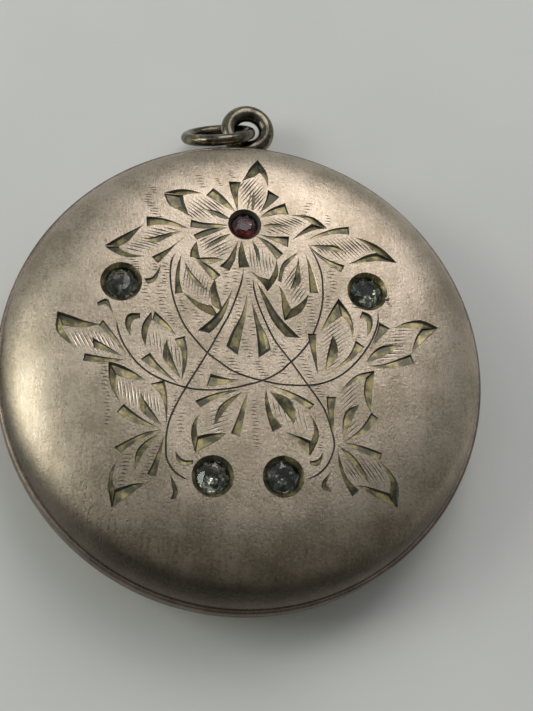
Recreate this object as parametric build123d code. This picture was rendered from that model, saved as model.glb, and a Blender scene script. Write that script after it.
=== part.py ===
"""Round hinged locket, 32 mm across, lying on its back with the engraved cover up.

Frame: millimetres. The origin is the centre of the flat of the back, where the locket rests.
+Z comes out of the engraved cover, +Y points to the bail, and the hinge is on the -X side.
The seam between the two covers is the plane z = SEAM_Z. Pieces of the front half lie above it
and are built as a mirror of the back half's pieces where the two are alike.
"""
from build123d import *
from math import cos, hypot, pi, radians, sin, sqrt
import os

# ---- driving dimensions -------------------------------------------------------------
CASE_RADIUS = 16.0        # outside of the two beads that meet at the seam
BEAD_HEIGHT = 0.65        # straight band of each cover
BEAD_ROUND = 0.22         # rounding of the band's outer corner
DOME_RADIUS = 15.6        # where each cover's dome meets its band
SEAM_Z = 3.8              # plane where the covers meet
FRONT_RISE = 3.1          # front dome above its band
FRONT_POWER = 4.5         # squareness of the front dome's section
BACK_FLAT_RADIUS = 9.0    # flat that the locket rests on
BACK_POWER = 2.4          # roundness of the back between the flat and the band
WALL = 0.45               # sheet thickness of both covers
SEAM_BREAK = 0.05         # tiny chamfer on each band at the seam

RIM_OUTER = CASE_RADIUS - 0.85    # ring soldered inside each cover
RIM_INNER = 14.3
RIM_DEPTH = 1.15                  # ring height from the seam
RIM_TAPER = 0.2                   # the ring narrows where the dome begins
LIP_INNER, LIP_OUTER = 14.35, 14.75   # snap lip of the back ring
LIP_HEIGHT = 0.45
LIP_SEAT_OUTER = 14.8                 # counterbore of the front ring
LIP_SEAT_DEPTH = 0.55

FRAME_OUTER = 14.25       # removable picture frame
FRAME_INNER = 13.1
FRAME_BEAD = 0.5          # height of the frame's visible bead
FRAME_SET_BACK = 0.1      # frame below the seam plane
FRAME_SKIRT_INNER = 13.95
FRAME_NOTCH_RADIUS = 0.9  # finger-nail notch in the frame's bead
WINDOW_RADIUS = 13.9
WINDOW_THICKNESS = 0.3
CARD_THICKNESS = 0.2
LINING_RADIUS = 14.5
LINING_THICKNESS = 0.25

HINGE_OVERHANG = 0.15     # hinge axis outside the bands
HINGE_X = -(CASE_RADIUS + HINGE_OVERHANG)
KNUCKLE_RADIUS = 0.6
KNUCKLE_LENGTH = 1.3
KNUCKLE_GAP = 0.05
HINGE_GAP = 0.06          # room between a knuckle and the recess in the covers
PIN_RADIUS = 0.28
PIN_CLEARANCE = 0.03
PIN_OVERHANG = 0.03       # pin end beyond the last knuckle

LOOP_CENTRE = (0.16, 18.2, 2.2)
LOOP_RADIUS = 1.33        # centre line of the bail loop
LOOP_WIRE = 0.56          # radius of its wire
FOOT_BASE = 14.9          # neck between the back cover and the loop
FOOT_HALF_WIDTH = 1.35
FOOT_TOP_HALF_WIDTH = 0.8
FOOT_HEIGHT = 0.9

RING_CENTRE = (-1.9, 17.56, 2.6)
RING_RADIUS = 2.2
RING_WIRE = 0.39
RING_LEAN, RING_DROOP, RING_YAW = 33.0, 19.0, -2.0   # degrees

NAIL_NOTCH_RADIUS = 5.0   # finger-nail notch in the back band, opposite the hinge
NAIL_NOTCH_DEPTH = 0.3
NAIL_NOTCH_HEIGHT = 0.45

STONE_RADIUS = 1.08       # the four clear stones
STONE_SINK = 0.28         # girdle below the cover's surface
STONE_GIRDLE = 0.08
STONE_CROWN = 0.34
STONE_TABLE = 0.6
STONE_PAVILION = 0.8
SEAT_RIM = 1.34           # radius of the bright-cut recess at the surface
SEAT_STEP = 0.02          # bearing step round the girdle
FOIL = 0.06
RED_STONE_SIZE = 0.82     # the flower's stone, as a share of the clear ones
STONES = {
    "stone_red": (-0.45, 9.1, RED_STONE_SIZE),
    "stone_left": (-8.3, 4.6, 1),
    "stone_right": (7.7, 5.0, 1),
    "stone_lower_left": (-2.05, -7.9, 1),
    "stone_lower_right": (2.4, -7.7, 1),
}

os.makedirs("parts", exist_ok=True)


# ---- the covers' sections -----------------------------------------------------------
def dome_points(radius, rise, power, flat, count=14):
    """Superellipse quarter from the pole side (flat, rise) to (radius, 0), as (r, height)."""
    points = []
    for i in range(count + 1):
        turn = i / count * pi / 2
        points.append((flat + (radius - flat) * sin(turn) ** (2 / power), rise * cos(turn)))
    return points


def front_height(r):
    """Height of the front cover's surface at radius r from the axis."""
    return SEAM_Z + BEAD_HEIGHT + FRONT_RISE * sqrt(1 - (r / DOME_RADIUS) ** FRONT_POWER)


def dome_edge(points):
    """Spline through a dome's section, level at its pole and upright at its band."""
    return Spline(*[(r, 0, z) for r, z in points], tangents=[(1, 0, 0), (0, 0, -1)])


def cover_solid(rise, power, flat):
    """A cover with its seam at z = 0 and its dome upwards, without stones or hinge recess."""
    outer = [(r, BEAD_HEIGHT + h) for r, h in dome_points(DOME_RADIUS, rise, power, flat)]
    inner_radius = RIM_OUTER
    inner = [(r, BEAD_HEIGHT + h) for r, h in dome_points(inner_radius, rise - WALL, power, flat)]
    top, inner_top = BEAD_HEIGHT + rise, BEAD_HEIGHT + rise - WALL
    edges = [dome_edge(outer)]
    edges.append(Polyline(
        (DOME_RADIUS, 0, BEAD_HEIGHT),
        (CASE_RADIUS - BEAD_ROUND, 0, BEAD_HEIGHT),
    ))
    corner = BEAD_ROUND * (1 - cos(radians(45)))
    edges.append(ThreePointArc(
        (CASE_RADIUS - BEAD_ROUND, 0, BEAD_HEIGHT),
        (CASE_RADIUS - corner, 0, BEAD_HEIGHT - corner),
        (CASE_RADIUS, 0, BEAD_HEIGHT - BEAD_ROUND),
    ))
    edges.append(Polyline(
        (CASE_RADIUS, 0, BEAD_HEIGHT - BEAD_ROUND),
        (CASE_RADIUS, 0, SEAM_BREAK),
        (CASE_RADIUS - SEAM_BREAK, 0, 0),
        (inner_radius, 0, 0),
        (inner_radius, 0, BEAD_HEIGHT),
    ))
    edges.append(dome_edge(inner))
    if flat:
        edges.append(Line((flat, 0, top), (0, 0, top)))
        edges.append(Line((flat, 0, inner_top), (0, 0, inner_top)))
    edges.append(Line((0, 0, inner_top), (0, 0, top)))
    return revolve(make_face(Wire.combine(edges)[0]), Axis.Z, 360)


def front_place(shape):
    """Moves a piece built with its seam at z = 0 and its depth upwards to the front half."""
    return Pos(0, 0, SEAM_Z) * shape


def back_place(shape):
    """Turns the same kind of piece over into the back half."""
    return Pos(0, 0, SEAM_Z) * Rot(180, 0, 0) * shape


def ring_solid(*section):
    """Revolves a closed section given as (r, z) corners."""
    corners = [(r, 0, z) for r, z in section]
    return revolve(make_face(Polyline(*corners, close=True)), Axis.Z, 360)


# ---- the rings, frames and pictures inside ------------------------------------------
def rim_solid(with_lip):
    """Ring inside a cover: the back one carries the snap lip and the front one its seat."""
    section = [
        (RIM_INNER, RIM_DEPTH),
        (RIM_OUTER - RIM_TAPER, RIM_DEPTH),
        (RIM_OUTER, BEAD_HEIGHT),
        (RIM_OUTER, 0),
    ]
    if with_lip:
        section += [
            (LIP_OUTER, 0),
            (LIP_OUTER, -LIP_HEIGHT + 0.1),
            (LIP_OUTER - 0.1, -LIP_HEIGHT),
            (LIP_INNER, -LIP_HEIGHT),
            (LIP_INNER, 0),
            (RIM_INNER, 0),
        ]
    else:
        section += [(LIP_SEAT_OUTER, 0), (LIP_SEAT_OUTER, LIP_SEAT_DEPTH), (RIM_INNER, LIP_SEAT_DEPTH)]
    return ring_solid(*section)


def frame_solid():
    """Picture frame: a rounded bead towards the seam and a skirt round the window and card."""
    low = FRAME_SET_BACK
    high = low + FRAME_BEAD
    middle = (FRAME_OUTER + FRAME_INNER) / 2
    bead = make_face(Wire.combine([
        ThreePointArc((FRAME_INNER, 0, high - 0.2), (middle - 0.1, 0, low), (FRAME_OUTER, 0, high - 0.25)),
        Polyline(
            (FRAME_OUTER, 0, high - 0.25),
            (FRAME_OUTER, 0, RIM_DEPTH),
            (FRAME_SKIRT_INNER, 0, RIM_DEPTH),
            (FRAME_SKIRT_INNER, 0, high),
            (FRAME_INNER, 0, high),
            (FRAME_INNER, 0, high - 0.2),
        ),
    ])[0])
    ring = revolve(bead, Axis.Z, 360)
    nail = Pos(FRAME_INNER, 0, low - 0.1) * Cylinder(FRAME_NOTCH_RADIUS, FRAME_BEAD, align=(
        Align.CENTER, Align.CENTER, Align.MIN))
    return ring - nail


def disc(radius, thickness, base):
    """Flat disc from z = base upwards."""
    return Pos(0, 0, base) * Cylinder(radius, thickness, align=(Align.CENTER, Align.CENTER, Align.MIN))


# ---- the stones and their seats -----------------------------------------------------
def stone_frame(x, y):
    """Frame on the front cover's surface at (x, y), with its Z along the surface normal."""
    r = hypot(x, y)
    step = 0.01
    slope = (front_height(r + step) - front_height(r - step)) / (2 * step)
    normal = Vector(-slope * x / r, -slope * y / r, 1).normalized()
    across = Vector(0, 1, 0).cross(normal).normalized()
    return Location(Plane(origin=(x, y, front_height(r)), x_dir=across, z_dir=normal))


def stone_solid(size):
    """Round stone with its girdle's top sunk below z = 0."""
    top = -STONE_SINK
    bottom = top - STONE_GIRDLE
    return ring_solid(*[(r * size, z * size) for r, z in (
        (0, top + STONE_CROWN),
        (STONE_TABLE, top + STONE_CROWN),
        (STONE_RADIUS, top),
        (STONE_RADIUS, bottom),
        (0, bottom - STONE_PAVILION),
    )])


def seat_cutter(size):
    """What is cut from the cover for a stone: the bright-cut recess, the bearing and a hole."""
    top = -STONE_SINK
    bottom = top - STONE_GIRDLE
    edge = STONE_RADIUS + SEAT_STEP
    return ring_solid(*[(r * size, z * size) for r, z in (
        (0, 0.4),
        (SEAT_RIM + 0.4 * (SEAT_RIM - edge) / STONE_SINK, 0.4),
        (edge, top),
        (edge, bottom),
        (STONE_RADIUS, bottom),
        (0, bottom - STONE_PAVILION),
    )])


def foil_solid(size):
    """Reflective foil cup that hugs the back of a stone behind the cover's wall."""
    start = -(WALL + 0.12)
    tip = -(STONE_SINK + STONE_GIRDLE + STONE_PAVILION) * size
    reach = STONE_RADIUS * (start - tip) / STONE_PAVILION
    return ring_solid(
        (0, tip),
        (reach, start),
        (reach + FOIL, start),
        (FOIL / 2, tip - FOIL),
        (0, tip - FOIL),
    )


# ---- the hinge ----------------------------------------------------------------------
def along_y(radius, length, centre_y=0.0):
    """Cylinder round the hinge axis."""
    return Pos(HINGE_X, centre_y, SEAM_Z) * Rot(90, 0, 0) * Cylinder(radius, length)


def knuckle_solid(centre_y, upper):
    """One knuckle, with the solder fillet that joins it to the recess of its own cover."""
    reach = 3.0
    barrel = along_y(KNUCKLE_RADIUS, KNUCKLE_LENGTH, centre_y)
    fillet = along_y(KNUCKLE_RADIUS + HINGE_GAP, KNUCKLE_LENGTH, centre_y)
    side = 1 if upper else -1
    sector = Pos(HINGE_X + 0.2 + reach / 2, centre_y, SEAM_Z + side * (0.1 + reach / 2)) * Box(
        reach, KNUCKLE_LENGTH, reach)
    bore = PIN_RADIUS + (PIN_CLEARANCE if upper else 0)
    return barrel + (fillet & sector) - along_y(bore, KNUCKLE_LENGTH * 2, centre_y)


# ---- the bail and its ring ----------------------------------------------------------
def loop_solid(back_cover):
    """Wire loop, filed where it is soldered against the band."""
    return Pos(*LOOP_CENTRE) * Torus(LOOP_RADIUS, LOOP_WIRE) - back_cover


def foot_solid(back_cover, loop):
    """Neck that joins the loop to the back cover."""
    x, y, z = LOOP_CENTRE
    base = FOOT_BASE
    top = y - LOOP_RADIUS + 0.1
    low = z - FOOT_HEIGHT / 2
    outline = Polyline(
        (x - FOOT_HALF_WIDTH, base, low),
        (x + FOOT_HALF_WIDTH, base, low),
        (x + FOOT_TOP_HALF_WIDTH, top, low),
        (x - FOOT_TOP_HALF_WIDTH, top, low),
        close=True,
    )
    block = extrude(make_face(outline), FOOT_HEIGHT, dir=(0, 0, 1))
    block = fillet(block.edges().filter_by(Axis.X), 0.2)
    foot = block - back_cover - loop
    return max(foot.solids(), key=lambda s: s.center().Y)


def ring_location():
    """Frame of the jump ring: X across it, Z along its axis."""
    yaw, lean, droop = radians(RING_YAW), radians(RING_LEAN), radians(RING_DROOP)
    across = Vector(cos(yaw) * cos(droop), sin(yaw) * cos(droop), sin(droop))
    up = Vector(0, -sin(lean), cos(lean))
    up = (up - across * up.dot(across)).normalized()
    return Location(Plane(origin=RING_CENTRE, x_dir=across, z_dir=across.cross(up)))


def nail_notch():
    """Shallow scoop under the front band where a finger nail opens the locket."""
    centre = CASE_RADIUS - NAIL_NOTCH_DEPTH + NAIL_NOTCH_RADIUS
    return Pos(centre, 0, SEAM_Z - NAIL_NOTCH_HEIGHT / 2) * Cylinder(NAIL_NOTCH_RADIUS, NAIL_NOTCH_HEIGHT)


# ---- assembly -----------------------------------------------------------------------
def build():
    """Every piece of the locket, by the name of its node."""
    pieces = {}
    recess = along_y(KNUCKLE_RADIUS + HINGE_GAP, 3 * KNUCKLE_LENGTH + 4 * KNUCKLE_GAP)
    seats = [stone_frame(x, y) * seat_cutter(size) for x, y, size in STONES.values()]

    front = front_place(cover_solid(FRONT_RISE, FRONT_POWER, 0)) - recess
    for seat in seats:
        front = front - seat
    pieces["front_cover"] = front
    back_depth = SEAM_Z - BEAD_HEIGHT
    back = back_place(cover_solid(back_depth, BACK_POWER, BACK_FLAT_RADIUS)) - recess - nail_notch()
    pieces["back_cover"] = back

    for half, place in (("front", front_place), ("back", back_place)):
        window_base = FRAME_SET_BACK + FRAME_BEAD
        card_base = window_base + WINDOW_THICKNESS
        pieces[f"{half}_rim_ring"] = place(rim_solid(with_lip=half == "back"))
        pieces[f"{half}_picture_frame"] = place(frame_solid())
        pieces[f"{half}_picture_window"] = place(disc(WINDOW_RADIUS, WINDOW_THICKNESS, window_base))
        pieces[f"{half}_picture_card"] = place(disc(WINDOW_RADIUS, CARD_THICKNESS, card_base))
        pieces[f"{half}_lining"] = place(disc(LINING_RADIUS, LINING_THICKNESS, RIM_DEPTH))

    for name, (x, y, size) in STONES.items():
        pieces[name] = stone_frame(x, y) * stone_solid(size)
    pieces["stone_foils"] = Compound([stone_frame(x, y) * foil_solid(size) for x, y, size in STONES.values()])

    pitch = KNUCKLE_LENGTH + KNUCKLE_GAP
    pieces["hinge_knuckle_front"] = knuckle_solid(0, upper=True)
    pieces["hinge_knuckle_back_upper"] = knuckle_solid(pitch, upper=False)
    pieces["hinge_knuckle_back_lower"] = knuckle_solid(-pitch, upper=False)
    pieces["hinge_pin"] = along_y(PIN_RADIUS, 3 * KNUCKLE_LENGTH + 2 * KNUCKLE_GAP + 2 * PIN_OVERHANG)

    pieces["bail_loop"] = loop_solid(back)
    pieces["bail_foot"] = foot_solid(back, pieces["bail_loop"])
    pieces["jump_ring"] = ring_location() * Torus(RING_RADIUS, RING_WIRE)
    return pieces


for node, piece in build().items():
    export_step(piece, f"parts/{node}.step")
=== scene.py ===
"""Looks for the round hinged locket: engraved cover, faceted stones, wire bail and jump ring.

Lengths are millimetres and are turned into metres where a mesh is made. The frame is the CAD part's:
+Z comes out of the engraved cover, +Y points to the bail and the hinge is on the -X side.
"""

from math import ceil, copysign, cos, hypot, pi, radians, sin, sqrt
from random import Random

import bpy
import numpy as np
from mathutils import Matrix, Vector
from mathutils.geometry import delaunay_2d_cdt


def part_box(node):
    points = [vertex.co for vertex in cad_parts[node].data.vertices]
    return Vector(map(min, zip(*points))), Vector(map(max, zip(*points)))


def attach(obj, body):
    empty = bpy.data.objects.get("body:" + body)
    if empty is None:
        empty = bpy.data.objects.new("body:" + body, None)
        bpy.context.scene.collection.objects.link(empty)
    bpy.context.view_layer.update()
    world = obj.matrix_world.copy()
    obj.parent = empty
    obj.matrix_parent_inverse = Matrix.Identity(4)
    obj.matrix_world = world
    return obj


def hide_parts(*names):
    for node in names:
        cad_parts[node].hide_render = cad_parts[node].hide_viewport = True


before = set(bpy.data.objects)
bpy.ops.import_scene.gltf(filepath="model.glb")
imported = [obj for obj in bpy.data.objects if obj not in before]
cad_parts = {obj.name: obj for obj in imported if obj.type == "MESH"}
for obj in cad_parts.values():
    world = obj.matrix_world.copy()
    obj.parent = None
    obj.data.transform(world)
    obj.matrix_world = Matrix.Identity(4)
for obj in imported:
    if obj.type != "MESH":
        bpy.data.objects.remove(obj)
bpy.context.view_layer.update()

MM = 0.001

# ---- dimensions shared with the CAD part ----------------------------------------------
CASE_RADIUS = 16.0
BEAD_HEIGHT = 0.65
BEAD_ROUND = 0.22
DOME_RADIUS = 15.6
SEAM_Z = 3.8
FRONT_RISE = 3.1
FRONT_POWER = 4.5
WALL = 0.45
SEAM_BREAK = 0.05
RIM_OUTER = 15.15
HINGE_X = -16.15
HINGE_RECESS = 0.66
HINGE_HALF_LENGTH = 2.05
STONE_RADIUS = 1.08
STONE_SINK = 0.28
STONE_GIRDLE = 0.08
STONE_CROWN = 0.34
STONE_TABLE = 0.6
STONE_PAVILION = 0.8
SEAT_RIM = 1.34
SEAT_ROOM = 0.02            # between a stone and its seat
SEAT_HOLE = 0.82            # radius where the seat opens through the cover
RED_STONE_SIZE = 0.82       # the flower's stone, as a share of the clear ones
LOOP_RADIUS, LOOP_WIRE = 1.33, 0.56
RING_RADIUS, RING_WIRE = 2.2, 0.39
RING_LEAN, RING_DROOP, RING_YAW = 33.0, 19.0, -2.0
STONES = {
    "stone_red": RED_STONE_SIZE,
    "stone_left": 1,
    "stone_right": 1,
    "stone_lower_left": 1,
    "stone_lower_right": 1,
}

# ---- dimensions of the looks only -----------------------------------------------------
HAIR = 0.002                # room between pieces that would otherwise share a face
FOOT_SPREAD = 0.12          # how far the dome's foot runs out towards the band
FOOT_TURN = 88              # where the dome ends above the band, in degrees from the Z axis
BACK_POWER = 2.4
BACK_FLAT_RADIUS = 9.0
NAIL_NOTCH_RADIUS, NAIL_NOTCH_DEPTH, NAIL_NOTCH_HEIGHT = 5.0, 0.3, 0.45
RIM_INNER, RIM_DEPTH = 14.3, 1.15
RIM_ROOM, RIM_TAPER = 0.005, 0.2
LIP_INNER, LIP_OUTER = 14.35, 14.75         # the snap lip, on the back rim
LIP_REACH, LIP_ROUND, LIP_BREAK = 0.3, 0.15, 0.1
LIP_SEAT_OUTER, LIP_SEAT_INNER, LIP_SEAT_DEPTH, LIP_SEAT_BREAK = 14.8, 14.34, 0.55, 0.04
FRAME_OUTER, FRAME_INNER = 14.24, 13.1
FRAME_LOW, FRAME_HIGH = 0.1, 0.6
FRAME_SKIRT_INNER = 13.95
FRAME_EDGE, FRAME_LIP = 0.2, 0.16           # heights of the bead's outer and inner edge
FRAME_STEPS, FRAME_POWER = 12, 0.6
FRAME_GROOVES, FRAME_GROOVE_DEPTH = (3, 9), 0.03
FRAME_NOTCH_RADIUS, FRAME_NOTCH_LOW, FRAME_NOTCH_RISE = 0.9, 0.1, 0.2
WINDOW_RADIUS, WINDOW_THICKNESS, WINDOW_EDGE = 13.89, 0.3, 0.06
CARD_THICKNESS, CARD_SHRINK = 0.2, 0.03
CROWN_RING, PAVILION_RING = 0.84, 0.4       # where the stone's facets meet, in radii
FACET_SIDES = 8
STONE_TURN, STONE_TURN_STEP = 9, 17         # how each stone is turned in its seat, in degrees
GRAIN_PLACE, GRAIN_RADIUS, GRAIN_HEIGHT, GRAIN_ROOT = (9.05, 4.62), 0.16, 0.13, 0.1
KNUCKLE_RADIUS, KNUCKLE_LENGTH, KNUCKLE_GAP, KNUCKLE_BREAK = 0.6, 1.3, 0.05, 0.06
LOOSE_BORE, TIGHT_BORE = 0.03, 0.004        # room round the pin in the front and the back knuckles
BORE_BREAK = 0.02
WEB_REACH, WEB_INSIDE = 0.655, 0.5          # radii of the solder web, from the hinge axis
PIN_RADIUS, PIN_ROUND = 0.28, 0.08
NECK_TOP_HALF, NECK_FLARE, NECK_WAIST, NECK_CORNERS = 0.74, 2.2, 0.16, 0.62
NECK_LEAN = (1, 0, 1.4)                     # how its normals lean to each axis
NECK_ROWS, NECK_SIDES = 14, 40
RING_JOINT = 150.0                          # where the jump ring's ends meet, in degrees round it
JOINT_STEPS = (-0.012, -0.006, 0.006, 0.012)    # extra stations by the ends, in radians
JOINT_REACH, JOINT_DIP = 0.011, 0.13        # radians, and a share of the wire

# ---- engraving ------------------------------------------------------------------------
# Every cut is its point, then the rest of its steep edge, then the rest of its broad facet's far edge
PETAL_CUTS = [
    # top petal
    ((-0.93, 10.0), [(-1.2, 10.85), (-1.42, 11.6), (-1.54, 12.27)],
     [(-0.92, 10.8), (-0.9, 11.6), (-0.72, 12.28)]),
    ((0.5, 9.98), [(0.78, 10.6), (0.98, 11.2), (1.07, 11.82)],
     [(1.0, 10.42), (1.42, 10.85), (1.84, 11.33)]),
    ((-0.33, 10.08), [(-0.24, 10.8), (-0.06, 11.6)], [(-0.12, 10.8), (-0.06, 11.6)]),
    ((0.1, 11.6), [(0.0, 10.9), (-0.02, 10.2)], [(0.22, 11.0), (0.14, 10.2)]),
    ((-0.68, 12.3), [(-0.35, 12.95), (-0.05, 13.6), (0.45, 14.28)],
     [(-0.25, 12.58), (0.15, 12.75), (0.54, 13.15)]),
    ((1.06, 12.0), [(1.1, 12.7), (0.92, 13.45), (0.45, 14.28)], [(0.95, 12.5), (0.8, 12.8), (0.54, 13.15)]),
    # upper left petal
    ((-1.05, 9.95), [(-1.6, 10.75), (-2.1, 11.3), (-2.55, 11.68)],
     [(-1.8, 10.32), (-2.4, 10.7), (-3.03, 11.08)]),
    ((-1.45, 8.97), [(-2.4, 9.03), (-3.2, 9.05), (-3.97, 9.22)],
     [(-2.4, 8.72), (-3.2, 8.6), (-4.02, 8.66)]),
    ((-1.4, 9.42), [(-1.95, 9.8), (-2.5, 10.0), (-3.35, 10.03)],
     [(-1.9, 9.42), (-2.6, 9.68), (-3.35, 10.03)]),
    ((-3.25, 11.2), [(-4.1, 11.45), (-4.9, 11.45), (-5.78, 11.15)],
     [(-3.7, 11.18), (-4.1, 11.12), (-4.52, 11.0)]),
    ((-4.1, 9.45), [(-4.28, 10.0), (-4.45, 10.5), (-4.52, 11.0)],
     [(-4.75, 9.85), (-5.45, 10.25), (-5.78, 11.1)]),
    # lower left petal
    ((-1.5, 8.82), [(-2.4, 8.72), (-3.1, 8.52), (-3.8, 8.12)], [(-2.3, 8.42), (-3.0, 8.08), (-3.55, 7.78)]),
    ((-0.86, 7.95), [(-1.2, 7.2), (-1.55, 6.55), (-2.05, 6.03)],
     [(-0.97, 7.1), (-1.05, 6.5), (-1.38, 5.78)]),
    ((-1.3, 8.38), [(-2.0, 8.15), (-2.6, 7.7), (-3.05, 7.1)], [(-1.9, 7.85), (-2.45, 7.5), (-3.05, 7.1)]),
    ((-3.55, 7.68), [(-3.82, 7.3), (-3.95, 6.95), (-3.97, 6.55)],
     [(-3.47, 7.2), (-3.4, 6.85), (-3.3, 6.5)]),
    ((-1.75, 6.5), [(-2.3, 6.62), (-2.9, 6.6), (-3.6, 6.5)], [(-2.2, 6.33), (-2.7, 6.12), (-3.3, 6.3)]),
    # bottom petal
    ((-0.63, 7.98), [(-0.8, 7.3), (-0.84, 6.6), (-0.78, 6.0)], [(-0.45, 7.3), (-0.3, 6.7), (-0.06, 6.1)]),
    ((0.33, 8.32), [(0.95, 8.1), (1.5, 7.75), (2.12, 7.22)], [(0.8, 7.85), (1.25, 7.35), (1.68, 6.75)]),
    ((0.05, 8.0), [(0.2, 7.4), (0.42, 6.8), (0.68, 6.2)], [(0.42, 7.5), (0.6, 6.9), (0.68, 6.2)]),
    ((0.0, 5.85), [(0.4, 5.4), (0.75, 5.05), (1.12, 4.5)], [(0.5, 5.53), (0.85, 5.42), (1.22, 5.35)]),
    ((1.65, 6.75), [(1.78, 6.2), (1.75, 5.5), (1.12, 4.5)], [(1.58, 6.2), (1.45, 5.8), (1.22, 5.35)]),
    # right petal
    ((0.5, 9.65), [(1.05, 10.22), (1.6, 10.6), (2.22, 10.9)], [(1.1, 9.82), (1.8, 10.02), (2.47, 10.05)]),
    ((0.42, 8.5), [(1.2, 8.38), (1.85, 8.42), (2.5, 8.47)], [(1.2, 8.15), (1.8, 7.95), (2.42, 7.68)]),
    ((0.7, 9.08), [(1.2, 9.28), (1.8, 9.3), (2.5, 9.18)], [(1.2, 9.0), (1.8, 9.08), (2.5, 9.18)]),
    ((2.45, 10.02), [(3.3, 10.1), (4.2, 9.98), (5.03, 9.3)], [(3.1, 9.95), (3.6, 9.8), (4.0, 9.52)]),
    ((2.68, 8.22), [(3.15, 8.75), (3.55, 9.15), (4.0, 9.52)], [(3.4, 8.68), (4.2, 9.08), (5.03, 9.28)]),
]

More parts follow.
